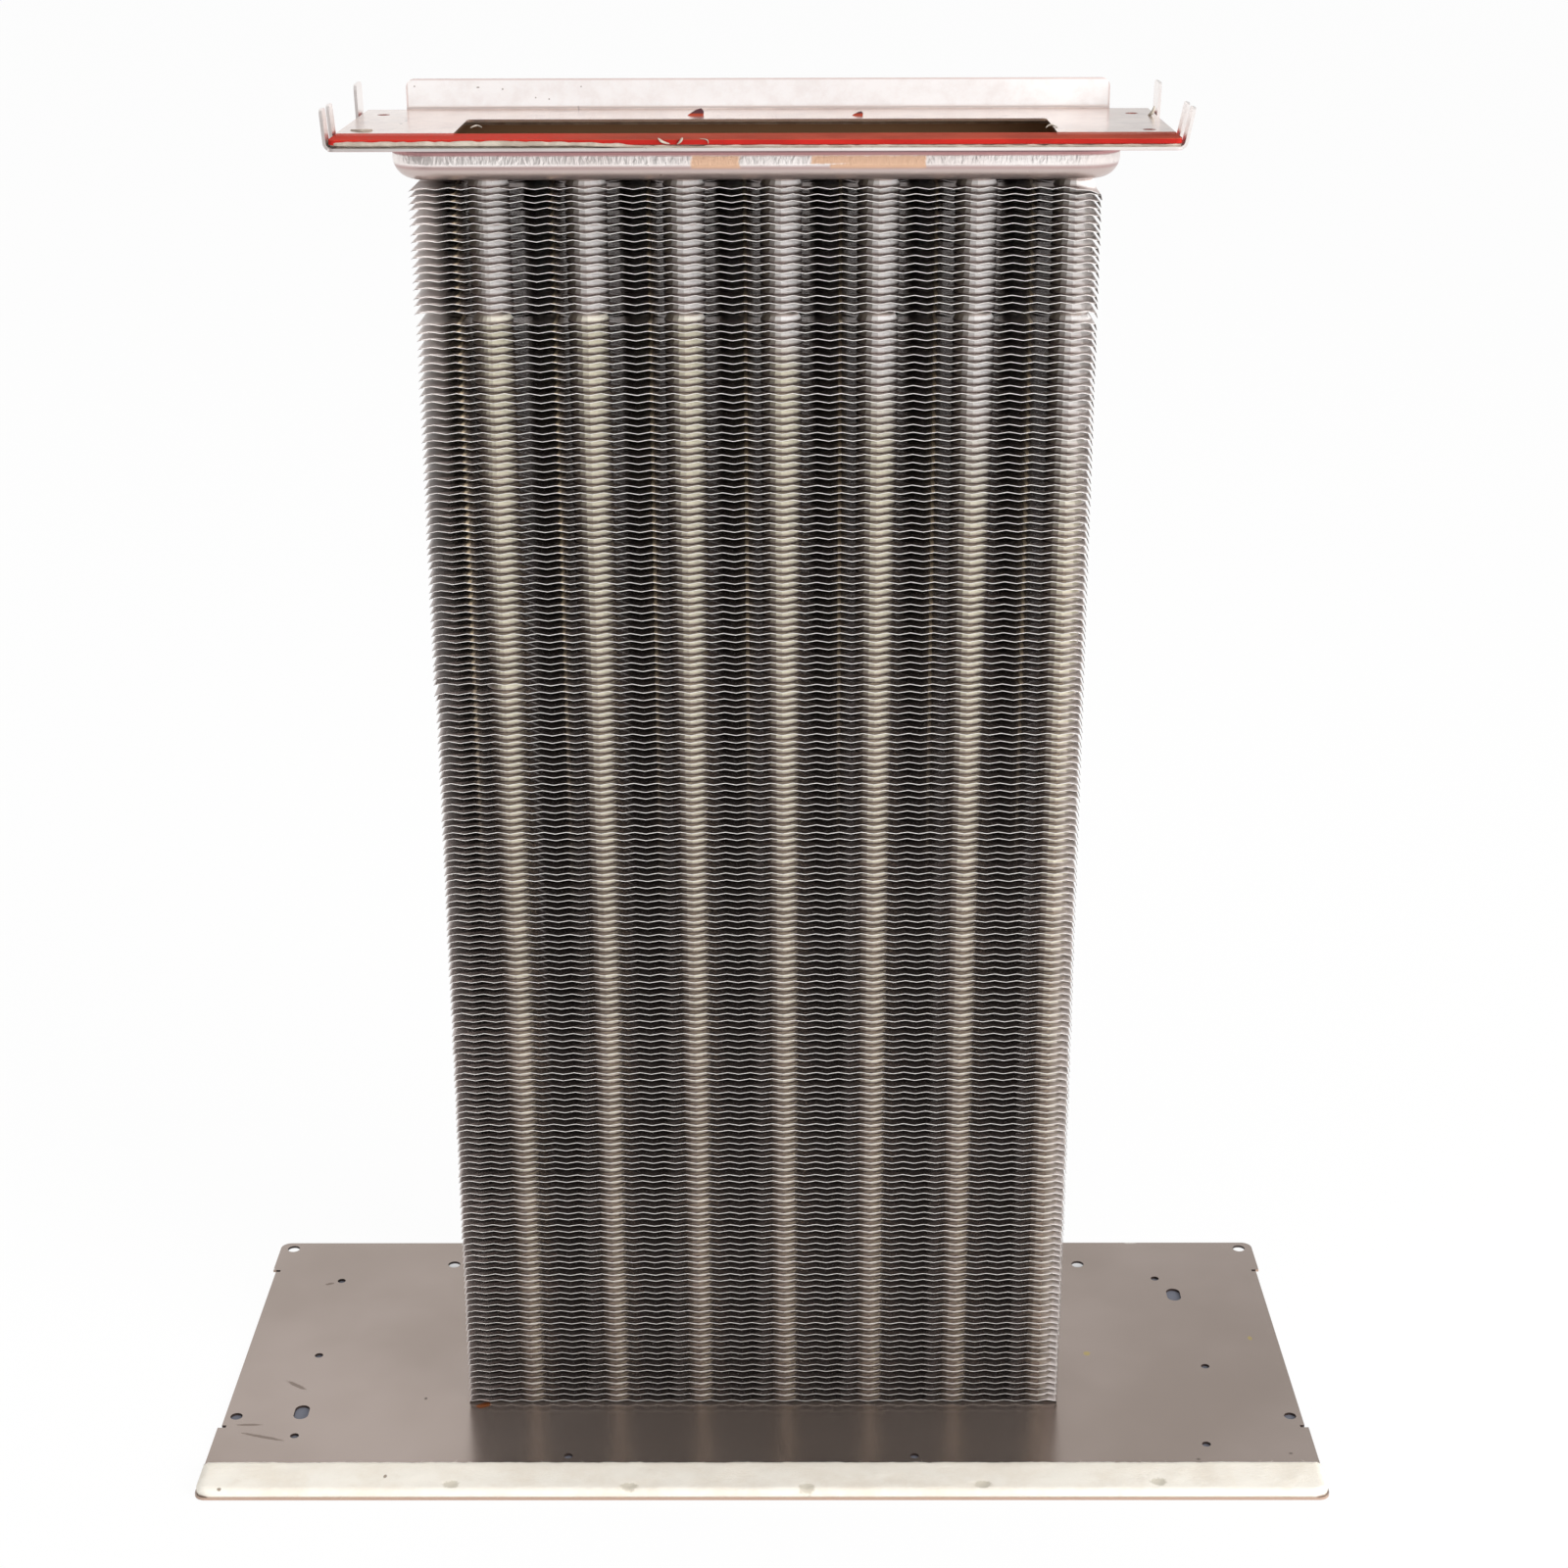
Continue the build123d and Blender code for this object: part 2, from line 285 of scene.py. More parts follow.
def finMetal():
    look = {
        "foil": rgb(192, 178, 173),
        "foilDull": rgb(170, 157, 152),
        "deepShade": rgb(58, 50, 46),  # painted shade deep in the block, between the two rows of tubes
        "deepShadeDepth": (-21 * mm, -2 * mm),
        "edge": rgb(246, 243, 240),
        "end": rgb(168, 162, 158),  # the turned-down ends
        "endReach": (109.9 * mm, 110.6 * mm),
        "paintedEndLight": rgb(255, 248, 245),  # painted light: paler near both ends, where the backdrop shines through
        "paintedEndLightLeft": (-101 * mm, -107 * mm),
        "paintedEndLightRight": (103 * mm, 108 * mm),
        "paintedEndLightRise": (330 * mm, 432 * mm),  # and more so towards the top, at the left
        # painted highlight and shade in the upper fins: white bars on the collars' flares, darker walls
        # between them
        "flareHighlight": rgb(255, 254, 253),
        "wallBetweenHighlights": rgb(214, 198, 192),
        "shaded": rgb(146, 136, 122),  # the collars' left half
        "collarCream": rgb(255, 251, 226),
        "highlightZoneAbove": (411 * mm, 352 * mm),  # the collars carry the painted highlight bars above this, at the left and right end
        "highlightZoneTurn": (-30 * mm, 100 * mm),  # where the border runs from the one height to the other
        "rearTubeReflection": rgb(226, 208, 178),  # painted reflection of the rear tubes
        "rearTubeReflections": (-97.8 * mm, 31.3 * mm),  # the first one and their spacing
        "rearTubeReflectionCore": (0.3 * mm, 1.0 * mm),
        "rearTubeReflectionHalo": (1 * mm, 3 * mm),
        "rearTubeReflectionRise": (180 * mm, 340 * mm),  # they fade in over these heights
    }
    paint = Paint("finMetal")
    collar = paint.node("ShaderNodeAttribute", {"attribute_name": "collar"}, output="Fac")
    edge = paint.upright() * (1 - paint.fade(collar, 0.1, 0.4))
    # painted highlight: above this border the collars get white bars on their flares
    left, right = look["highlightZoneAbove"]
    reach = paint.fade(paint.x, *look["highlightZoneTurn"])
    border = left + (right - left) * reach
    highlightZone = paint.fade((paint.z - border) / (1 + 12 * reach), -2 * mm, 3 * mm)
    single = paint.noise(1, 0, 0, (4, 4, 390))  # changes from fin to fin
    fine = paint.noise(1100, 2, 0.6, (1, 1, 0.3))
    # painted light: the fins' ends paler where the backdrop shines through them
    paintedEndLight = paint.fade(paint.x, *look["paintedEndLightLeft"])
    paintedEndLight = paintedEndLight * (0.15 + 0.85 * paint.fade(paint.z, *look["paintedEndLightRise"])) * (0.6 + 0.4 * single)
    paintedEndLight = paint.larger(paintedEndLight, 0.7 * paint.fade(paint.x, *look["paintedEndLightRight"]))
    # painted shade: the fins darker deep in the block, between the rows of tubes
    deepShade = paint.between(paint.y, *look["deepShadeDepth"], 5 * mm)
    onCollar = paint.fade(collar, 0.25, 0.6)
    # painted reflection: thin light lines where the rear tubes show between the fins
    first, spacing = look["rearTubeReflections"]
    away = paint.maths("PINGPONG", paint.x - first + 4 * spacing, spacing / 2)
    halo = 0.25 - 0.25 * paint.fade(away, *look["rearTubeReflectionHalo"])
    rearTubeReflection = paint.larger(1 - paint.fade(away, *look["rearTubeReflectionCore"]), halo)
    rearTubeReflection = rearTubeReflection * paint.fade(paint.z, *look["rearTubeReflectionRise"]) * (0.5 + single)
    rearTubeReflection = rearTubeReflection * (1 - onCollar) * (1 - edge)
    foil = paint.cloudy(single, look["foil"], look["foilDull"], 0.3)
    foil = paint.layers(foil, look, {"deepShade": deepShade * 0.9, "paintedEndLight": paintedEndLight, "rearTubeReflection": rearTubeReflection})
    flare = 1 - paint.fade(collar, 0.82, 0.9)
    band = paint.mix(highlightZone, look["collarCream"], paint.mix(flare, look["wallBetweenHighlights"], look["flareHighlight"]))
    band = paint.mix(paint.fade(paint.facing, -0.7, 0.1), look["shaded"], band)
    end = edge * paint.fade(abs(paint.x), *look["endReach"])
    colour = paint.layers(paint.mix(onCollar, foil, band), look, {"edge": edge, "end": end})
    metallic = 0.9 - onCollar * 0.8 - 0.64 * (edge - end)
    metallic = metallic * (1 - 0.9 * paintedEndLight * (1 - end)) * (1 - 0.8 * rearTubeReflection)
    roughness = 0.22 + 0.08 * fine + onCollar * 0.14 + 0.1 * edge + 0.2 * paintedEndLight
    return paint.finish({"Base Color": colour, "Metallic": metallic, "Roughness": roughness,
                         "Normal": paint.bump(fine, 0.03, 0.2 * mm)})


def tubeSteel():
    look = {
        "bright": rgb(238, 231, 225),
        "dull": rgb(212, 202, 194),
    }
    paint = Paint("tubeSteel")
    drawn = paint.noise(420, 3, 0.6, (1, 1, 0.04))
    colour = paint.cloudy(paint.noise(60, 3, 0.55), look["bright"], look["dull"])
    return paint.finish({"Base Color": colour, "Metallic": 0.85, "Roughness": 0.22 + 0.2 * drawn,
                         "Normal": paint.bump(drawn, 0.1, 0.2 * mm)})


def panelSteel():
    look = {
        "base": rgb(180, 166, 158),
        "deep": rgb(166, 152, 143),
        "scuff": rgb(128, 112, 102),
        "bare": rgb(226, 220, 212),
        "rust": rgb(196, 112, 52),
        "speck": rgb(190, 170, 110),
        "dark": rgb(96, 84, 74),
        "cutEdge": rgb(176, 150, 134),
        # painted shade: the walls of the holes dark
        "holeShade": rgb(58, 46, 42),
        "rim": 1.2 * mm,  # a cut face further in than this is a hole's
    }
    marks = {  # ovals, see spot
        "scuff": [(-178.8, -17.8, 5.4, 1.0, -37), (-191.8, -44.8, 5.4, 0.8, 0),
                  (-185.6, -52.6, 9.2, 0.9, -17), (-178.0, 58.0, 1.9, 0.9, 20)],
        "bare": [(-203.2, -41.6, 0.6, 1.2, 0), (-203.2, 69.9, 0.5, 1.0, 0), (152.7, 91.0, 2.6, 0.6, 0),
                 (203.0, 62.0, 0.7, 1.4, 0), (202.9, -42.5, 0.7, 1.4, 0)],
        "rust": [(-105.5, -31.6, 3.2, 1.9, 25)],
        "speck": [(125.9, 4.7, 1.5, 1.6, 20), (191.2, 15.8, 0.9, 1.5, 0)],
        "dark": [(193.6, -63.7, 0.8, 0.6, 0), (159.3, -67.4, 0.7, 0.6, 0), (-128.0, -27.0, 0.6, 0.9, 0)],
    }
    strength = {"scuff": 0.65, "bare": 0.8, "rust": 0.9, "speck": 0.85, "dark": 0.8}
    paint = Paint("panelSteel")
    low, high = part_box("vestibule_panel")
    cloud = paint.noise(9, 4, 0.55)
    grain = paint.noise(520, 2, 0.6)
    rolled = paint.noise(260, 3, 0.6, (0.05, 1, 1))
    ragged = (paint.noise(700, 2, 0.7) - 0.5) * 0.9
    masks = {name: paint.spots(spots, ragged) for name, spots in marks.items()}
    colour = paint.cloudy(cloud, look["base"], look["deep"], 0.3)
    colour = paint.layers(colour, look, {name: masks[name] * strength[name] for name in marks})
    cut = paint.upright()
    # painted shade on the cut faces inside the holes
    inside = (abs(paint.x) < high.x - look["rim"]) * (abs(paint.y) < high.y - look["rim"])
    colour = paint.layers(colour, look, {"cutEdge": cut, "holeShade": cut * inside})
    roughness = 0.19 + 0.05 * grain + 0.04 * rolled + 0.25 * masks["scuff"] + 0.3 * cut
    return paint.finish({"Base Color": colour, "Metallic": 0.82 * (1 - cut), "Roughness": roughness,
                         "Normal": paint.bump(grain + 0.6 * rolled, 0.015, 0.2 * mm)})


def traySteel():
    look = {
        "satin": rgb(255, 249, 246),
        "shade": rgb(246, 236, 232),
        # painted shade: the pan's rounded bottom darker
        "lower": rgb(202, 186, 181),
        "lowerShadeRise": (460.6 * mm, 461.8 * mm),
        "glue": rgb(210, 168, 134),  # smears on the pan's front wall
        "glueHeights": (458.7 * mm, 464.6 * mm),
        "glueLeft": (-20.6 * mm, -5.1 * mm),
        "glueLower": (24.0 * mm, 54.3 * mm),
        "glueUpper": (17.8 * mm, 50.0 * mm),
        # painted shade: the pan's inside darker brown
        "inside": rgb(158, 128, 98),
        "floorRise": (456.7 * mm, 456.9 * mm),
        "flangeShade": rgb(168, 112, 114),  # painted shade under the flange
        "flangeShadeHeights": (464.7 * mm, 468.1 * mm),
        # painted shade: a fainter band lower on the wall
        "flangeShadeBand": (460.2 * mm, 461.4 * mm),
        # painted shade: a dark line just under the flange's edge
        "line": rgb(92, 80, 84),
        "shadowLineHeights": (465.7 * mm, 467.6 * mm),
        "crumpled": (461.6 * mm, 464.8 * mm),
    }
    paint = Paint("traySteel")
    pan = trayShoulder
    cloud = paint.noise(30, 2, 0.5)
    peel = paint.noise(620, 2, 0.55, (1, 1, 0.45), twist=0.4)
    fine = paint.noise(1400, 2, 0.6, (0.15, 1, 1))
    ragged = (paint.noise(300, 3, 0.65) - 0.5) * 2
    edgeWander = ragged * 1.1 * mm
    wandering = paint.x + edgeWander
    onWall = paint.between(paint.z + edgeWander * 0.4, *look["glueHeights"], 0.4 * mm)
    front = 1 - paint.fade(paint.y, pan["front"] + 0.3 * mm, pan["front"] + 0.8 * mm)
    patches = paint.between(wandering, *look["glueLeft"], 0.5 * mm)
    lower = paint.between(wandering, *look["glueLower"], 0.5 * mm)
    lower = lower * paint.fade(paint.x * 0.16 - (paint.z - 462.4 * mm) + edgeWander, 4.2 * mm, 5.0 * mm)
    upper = paint.between(wandering, *look["glueUpper"], 0.5 * mm)
    upper = upper * paint.fade(paint.z + edgeWander * 0.5, 461.9 * mm, 462.4 * mm)
    glue = onWall * front * paint.larger(patches, paint.larger(lower, upper))
    halfWidth = (pan["right"] - pan["left"]) / 2 - pan["corner"]
    halfDepth = (pan["back"] - pan["front"]) / 2 - pan["corner"]
    away = paint.larger(abs(paint.x) - halfWidth, 0.0)
    back = paint.larger(abs(paint.y - (pan["back"] + pan["front"]) / 2) - halfDepth, 0.0)
    reach = (away * away + back * back) ** 0.5  # from the straight middle to the pan's rounded outline
    # painted shade: the pan's inside darker
    inside = paint.fade(reach, pan["corner"] - 0.3 * mm, pan["corner"] - 0.6 * mm)
    inside = inside * paint.fade(paint.z, *look["floorRise"]) * (paint.facing.other("Z") > -0.03)
    # painted shade under the flange
    under = (1 - inside) * paint.between(paint.z, *look["flangeShadeHeights"], 0.25 * mm)
    # painted shade: the dark line under the flange's edge
    line = (1 - inside) * paint.between(paint.z, *look["shadowLineHeights"], 0.25 * mm)
    colour = paint.cloudy(cloud, look["satin"], look["shade"])
    # painted shade: the pan's lower wall darker, and a faint dark band above it
    colour = paint.layers(colour, look, {
        "lower": 1 - paint.fade(paint.z, *look["lowerShadeRise"]),
        "flangeShade": paint.between(paint.z, *look["flangeShadeBand"], 0.5 * mm) * 0.35})
    colour = paint.layers(colour, look, {
        "flangeShade": under * 0.9, "line": line * 0.8, "glue": glue * 0.9, "inside": inside})
    crumpled = peel * paint.between(paint.z, *look["crumpled"], 0.5 * mm)
    metallic = 0.9 - 0.85 * glue - 0.45 * inside - 0.4 * under
    roughness = 0.24 + 0.12 * fine + 0.3 * glue + 0.2 * inside + 0.15 * under
    return paint.finish({"Base Color": colour, "Metallic": metallic, "Roughness": roughness,
                         "Normal": paint.bump(crumpled, 0.55, 0.9 * mm, paint.bump(fine, 0.08, 0.2 * mm))})


def plateSteel():
    look = {
        "flat": rgb(253, 240, 233),
        "flatDull": rgb(245, 229, 221),
        "zinc": rgb(255, 254, 254),
        "zincDull": rgb(247, 243, 242),
        # painted shade: a grey line along the bend
        "foldShade": rgb(212, 198, 196),
        "rim": rgb(224, 206, 203),
        "mark": rgb(150, 136, 130),  # on the upstand
        "scratch": rgb(176, 164, 160),  # on the flat
    }
    marks = [(-116.6, 480.0, 0.3, 0.3, 0), (-95.0, 479.6, 0.6, 0.3, 0), (-86.7, 479.0, 0.3, 0.4, 0),
             (-75.5, 476.2, 0.3, 0.3, 0), (-71.0, 475.7, 0.3, 0.3, 0), (-60.0, 479.8, 0.3, 0.3, 0)]
    lines = [(82.1, 6.2, 1.8, 0.8, 0), (-64.5, 24.0, 5.5, 1.0, 0), (-60.0, 27.0, 0.35, 5.0, 20),
             (-58.0, 21.0, 0.35, 5.0, -15), (-115.0, -5.0, 0.5, 1.5, 0), (-115.5, -14.0, 0.5, 1.5, 0)]
    paint = Paint("plateSteel")
    low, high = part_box("header_plate")
    upright = paint.fade(paint.z, low.z + 1.2 * mm, low.z + 2.2 * mm)
    mottle = paint.noise(130, 4, 0.65)
    wave = paint.noise(26, 2, 0.5)
    fine = paint.noise(1500, 2, 0.6, (0.12, 1, 1))
    ragged = (paint.noise(900, 2, 0.6) - 0.5) * 0.8
    uneven = paint.z + (mottle - 0.5) * 0.8 * mm
    # painted shade along the bend
    foldShade = paint.between(uneven, low.z + 0.9 * mm, low.z + 1.5 * mm, 0.25 * mm)
    rim = paint.fade(paint.z, high.z - 0.75 * mm, high.z - 0.35 * mm)
    sides = paint.fade(abs(paint.x), 118.7 * mm, 119.1 * mm)
    onFold = paint.between(paint.z, low.z + 0.85 * mm, low.z + 2.4 * mm, 0.2 * mm)
    flat = paint.cloudy(wave, look["flat"], look["flatDull"], 0.3)
    zinc = paint.cloudy(mottle, look["zinc"], look["zincDull"])
    colour = paint.layers(paint.mix(upright, flat, zinc), look, {
        "foldShade": foldShade * (0.35 + 0.6 * mottle),
        "mark": paint.spots(marks, ragged, paint.z) * upright * 0.7,
        "scratch": paint.spots(lines, ragged) * 0.6 * (1 - upright),
        "rim": paint.larger(rim, sides) * upright * 0.8})
    roughness = 0.07 + 0.06 * fine + upright * (0.2 + 0.2 * mottle) + 0.35 * onFold
    return paint.finish({"Base Color": colour, "Metallic": 0.9 - 0.65 * upright, "Roughness": roughness,
                         "Normal": paint.bump(wave, 0.08, 2 * mm, paint.bump(fine, 0.05, 0.2 * mm))})


def redGasket():
    look = {
        "front": rgb(176, 40, 34),
        "frontDull": rgb(160, 36, 31),
        "top": rgb(176, 74, 54),
        "topDull": rgb(158, 64, 46),
        "rubbed": rgb(196, 58, 46),  # towards the top's left end
        "rubbedReach": (-40 * mm, -75 * mm),
        "chip": rgb(88, 58, 62),  # the chips that lie on the plate
        "chipRise": (1.2 * mm, 1.7 * mm),
    }
    paint = Paint("redGasket")
    low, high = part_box("header_gasket")
    cloud = paint.noise(45, 4, 0.6)
    grain = paint.noise(1600, 2, 0.6)
    speckle = paint.fade(paint.noise(700, 2, 0.6), 0.42, 0.5)
    top = paint.fade(paint.z, high.z - 0.3 * mm, high.z - 0.02 * mm)
    above, clear = look["chipRise"]
    side = paint.cloudy(cloud, look["front"], look["frontDull"], end=0.65)
    dusty = paint.cloudy(cloud, look["top"], look["topDull"], end=0.65)
    rubbed = paint.fade(paint.x, *look["rubbedReach"]) * (0.5 + 0.5 * speckle)
    dusty = paint.mix(rubbed, dusty, look["rubbed"])
    colour = paint.mix(top, side, dusty)
    colour = paint.mix(paint.fade(paint.z, high.z + above, high.z + clear), colour, look["chip"])
    return paint.finish({"Base Color": colour, "Roughness": 0.75 + 0.2 * grain, "Specular IOR Level": 0.08,
                         "Normal": paint.bump(grain + cloud, 0.12, 0.4 * mm)})


def beigeSealant():
    look = {
        "light": rgb(190, 181, 168),
        "deep": rgb(162, 150, 137),
        # painted shade: a dark line low on the sealant
        "creaseShade": rgb(120, 100, 92),
        "creaseShadeRise": (0.25 * mm, 0.5 * mm),
    }
    paint = Paint("beigeSealant")
    low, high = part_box("header_sealant")
    cloud = paint.noise(160, 4, 0.65)
    grain = paint.noise(1100, 3, 0.6)
    # painted shade: a dark line low on the sealant, where it meets the flange
    start, end = look["creaseShadeRise"]
    creaseShade = paint.between(paint.z + (cloud - 0.5) * 0.5 * mm, low.z + start, low.z + end, 0.1 * mm)
    colour = paint.cloudy(cloud, look["light"], look["deep"], end=0.65)
    colour = paint.mix(creaseShade * 0.7, colour, look["creaseShade"])
    return paint.finish({"Base Color": colour, "Roughness": 0.6 + 0.2 * grain, "Specular IOR Level": 0.2,
                         "Normal": paint.bump(cloud + 0.3 * grain, 0.3, 0.6 * mm)})


def whiteFelt():
    look = {
        "white": rgb(245, 240, 229),
        "whiteDull": rgb(236, 228, 214),
        "back": rgb(236, 227, 212),
        "foot": rgb(166, 128, 100),  # brown where it meets the panel
        "hole": rgb(186, 178, 158),  # in the dimples
        "holeSize": (3.2, 2.4, 0),
        "crumb": rgb(120, 98, 76),
    }
    crumbs = [(-193.9, -90.2, 0.8, 0.6, 0), (-135.5, -82.5, 0.7, 0.9, 0), (-139.4, -73.2, 1.1, 0.6, 0)]
    paint = Paint("whiteFelt")
    low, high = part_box("panel_gasket")
    cloud = paint.noise(60, 4, 0.65)
    fibre = paint.noise(1300, 3, 0.7, (0.35, 1, 1), twist=0.8)
    ragged = (paint.noise(600, 2, 0.6) - 0.5) * 0.9
    foot = 1 - paint.fade(paint.z, low.z + 0.1 * mm, low.z + 0.8 * mm)
    holes = [(x, y, *look["holeSize"]) for x, y in felt["dimples"]]
    colour = paint.layers(paint.cloudy(cloud, look["white"], look["whiteDull"]), look, {
        "back": paint.fade(paint.y, low.y + 8 * mm, high.y) * 0.45,
        "foot": foot * 0.8,
        "hole": paint.spots(holes, ragged) * 0.6,
        "crumb": paint.spots(crumbs, ragged) * 0.8})
    return paint.finish({"Base Color": colour, "Roughness": 0.95, "Specular IOR Level": 0.15,
                         "Sheen Weight": 0.25, "Sheen Roughness": 0.5,
                         "Normal": paint.bump(fibre, 0.5, 0.6 * mm)})


trayShoulder = {
    "left": -117.5 * mm,  # the drawn pan, outside
    "right": 117.5 * mm,
    "front": -36.6 * mm,
    "back": 14.3 * mm,
    "corner": 14 * mm,
    "underFlange": 468 * mm,
    "radius": 3.3 * mm,
    "steps": 7,
    "cornerSteps": 10,
    "proud": 0.02 * mm,  # how far the curve stands off the wall
    "sunk": 0.1 * mm,  # how far its hidden back reaches into the tray
}
felt = {
    "columns": 240,
    "rows": 14,
    "corner": 5.0 * mm,
    "edgeSoft": 0.9 * mm,  # how far in the top edge is rounded off
    "edgeHeight": 0.55,  # share of the height at which the rounding starts
    "lump": 0.35 * mm,
    "fray": 0.8 * mm,  # of the back edge
    "frayFrom": 0.8,  # share of the strip's depth
    "dimples": [(-111.3, -87.4), (-47.3, -88.6), (16.1, -89.3), (79.2, -87.5), (142.2, -85.7)],
    "dimpleDepth": 0.8 * mm,
    "dimpleWidth": 2.6 * mm,
}

finishes = {
    "fin_metal": finMetal(),
    "tube_steel": tubeSteel(),
    "panel_steel": panelSteel(),
    "tray_steel": traySteel(),
    "plate_steel": plateSteel(),
    "red_gasket": redGasket(),
    "beige_sealant": beigeSealant(),
    "white_felt": whiteFelt(),
}
for node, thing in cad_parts.items():
    for slot in thing.material_slots:
        slot.material = finishes[slot.material.name.split(".")[0]]
print("finishes painted:", len(finishes))


finSheet = {
    "ripple": 0.34 * mm,  # how far the pressed waves rise and fall
    "wavesPerTube": 8,  # half waves from one tube to the next
    "thickness": 0.18 * mm,
    "collar": [(7.1, 0.09, 0.2), (6.1, 0.8, 0.8), (5.66, 2.3, 1.0)],  # radius, height; share of its paint
    "lip": 0.5 * mm,  # width of the turned-down ends
    "lipDrop": (0.4 * mm, 1.7 * mm),  # how far they come down, at the left and right end
}
finStack = {
    "stacks": 4,
    "count": 44,
    "unevenRise": 0.07 * mm,  # how far single fins sit off their place
    "unevenShift": 0.12 * mm,
    "unevenTilt": 0.05,  # degrees
    "buckle": 0.16 * mm,  # slow waves along the edges
    "tipBuckle": 0.2 * mm,  # more of it at both ends
    "tipReach": (0.44, 0.5),  # from the middle, as shares of the width
    "buckleScale": (16, 26, 330),
    "seed": 7,
}
finDamage = {  # fins are numbered from the top, from 0
    "endReach": 13 * mm,  # how far in from an end it is bent
    "gapUnder": 16,  # the gap under this fin stands open
    "gapBy": 1.35 * mm,
    "tightGaps": 3,  # the gaps at the top that are closed up for it
    "gapShift": 0.5 * mm,  # how far the left ends above it stand out
    "bentFin": 66,  # its left end hangs
    "bentBy": 0.5 * mm,
    "bentReach": (50 * mm, 12 * mm),
    "bentAbove": 0.8,  # the fin above it goes up by this share
    "stepUnder": 164,  # the right ends down to this fin stand out by half a step
    "stepShift": 0.5 * mm,  # a step, by which the left ends down to the bent fin stand out
    "pinch": 0.22 * mm,  # left ends lean together in pairs
    "droopFins": 11,  # ragged left ends at the top
    "droop": 0.15 * mm,
    "cornerDrop": 1.7 * mm,  # the top fin's right end
    "cornerReach": 9 * mm,
}


def tubePlaces(row):  # names and middles of a row's tubes, from the left
    names = sorted(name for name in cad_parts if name.startswith("tube_" + row))
    return names, [(low + high) / 2 for low, high in map(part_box, names)]


frontNames, frontTubes = tubePlaces("front")
rearNames, rearTubes = tubePlaces("rear")
tubePitch = frontTubes[1].x - frontTubes[0].x


def rowBorders(centres, left, right, wave):  # in half waves: the borders midway between tubes
    spots = [round((centre.x - left) / wave) for centre in centres]
    borders = [0] + [(a + b) // 2 for a, b in zip(spots, spots[1:])] + [round((right - left) / wave)]
    return spots, borders


def finMesh():  # one fin with its ripple and a collar for each tube, in the middle of its own height
    low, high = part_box("fin_stack_1")
    wave = tubePitch / finSheet["wavesPerTube"]
    half = finSheet["thickness"] / 2
    seam = (frontTubes[0].y + rearTubes[0].y) / 2
    lines = [low.y, frontTubes[0].y, seam, rearTubes[0].y, high.y]
    frontLine, rearLine, lastLine = 1, 3, 4  # the lines through the tubes, and the last one
    last = round((high.x - low.x) / wave)
    points = []
    faces = []
    collar = []
    corners = {}

    def point(x, y, z, onCollar=0.0):
        points.append((x, y, z))
        collar.append(onCollar)
        return len(points) - 1

    def corner(column, line):  # top and bottom point of a spot on the wave grid
        if (column, line) not in corners:
            x = min(max(low.x + column * wave, low.x + finSheet["lip"]), high.x - finSheet["lip"])
            z = finSheet["ripple"] * (-1 if column % 2 == 0 else 1)
            corners[column, line] = (point(x, lines[line], z + half), point(x, lines[line], z - half))
        return corners[column, line]

    smooth = []  # numbers of the collars' faces
    for tubes, line in ((frontTubes, frontLine), (rearTubes, rearLine)):
        spots, borders = rowBorders(tubes, low.x, high.x, wave)
        for tube, spot, left, right in zip(tubes, spots, borders, borders[1:]):
            loop = [(right, line)] + [(column, line + 1) for column in range(right, left - 1, -1)]
            loop += [(left, line)] + [(column, line - 1) for column in range(left, right + 1)]
            turns = []
            for column, row in loop:  # even steps in each quarter turn round the tube
                reach = (right - spot if column > spot else spot - left) + 1
                step = reach - abs(column - spot) if row != line else 0
                quarter = 90 * step / reach
                turn = quarter if column >= spot else 180 - quarter
                turns.append(turn if row >= line else -turn)
            (footRadius, footHeight, footMark), neck, rimRing = finSheet["collar"]
            under = (footRadius, -footHeight, footMark)
            rings = []
            for radius, height, onCollar in ((footRadius, footHeight, footMark), neck, rimRing, under):
                ring = []
                for turn in turns:
                    angle = math.radians(turn)
                    x = tube.x + radius * mm * math.cos(angle)
                    y = tube.y + radius * mm * math.sin(angle)
                    ring.append(point(x, min(max(y, low.y), high.y), height * mm, onCollar))
                rings.append(ring)
            foot, neck, rim, under = rings
            for here in range(len(loop)):
                there = (here + 1) % len(loop)
                topHere, bottomHere = corner(*loop[here])
                topThere, bottomThere = corner(*loop[there])
                faces.append((topHere, topThere, foot[there], foot[here]))
                faces.append((bottomThere, bottomHere, under[here], under[there]))
                smooth += [len(faces), len(faces) + 1]
                faces.append((foot[here], foot[there], neck[there], neck[here]))
                faces.append((neck[here], neck[there], rim[there], rim[here]))
                faces.append((under[there], under[here], rim[here], rim[there]))

    def lip(column, side):  # the end turned down, as outer and inner points from front to back
        outer = low.x if side < 0 else high.x
        bottom = -finSheet["ripple"] - finSheet["lipDrop"][side > 0]
        edge = []
        for line, y in enumerate(lines):
            edge.append((point(outer, y, bottom), point(outer - side * 2 * half, y, bottom)))
            if line > 0:
                topHere, bottomHere = corner(column, line - 1)
                topThere, bottomThere = corner(column, line)
                (outHere, inHere), (outThere, inThere) = edge[-2:]
                down = (topHere, outHere, outThere, topThere)
                up = (bottomThere, inThere, inHere, bottomHere)
                faces.append(down if side > 0 else down[::-1])
                faces.append(up if side > 0 else up[::-1])
        return edge

    leftLip = lip(0, -1)
    rightLip = lip(last, 1)
    outline = [corner(column, 0) for column in range(last + 1)] + rightLip
    outline += [corner(column, lastLine) for column in range(last, -1, -1)] + leftLip[::-1]
    for (topHere, bottomHere), (topThere, bottomThere) in zip(outline, outline[1:] + outline[:1]):
        faces.append((bottomHere, bottomThere, topThere, topHere))
    sheet = newThing("finSheet", points, faces)
    for number in smooth:
        sheet.data.polygons[number].use_smooth = True
    marks = sheet.data.attributes.new("collar", "FLOAT", "POINT")
    marks.data.foreach_set("value", collar)
    return sheet


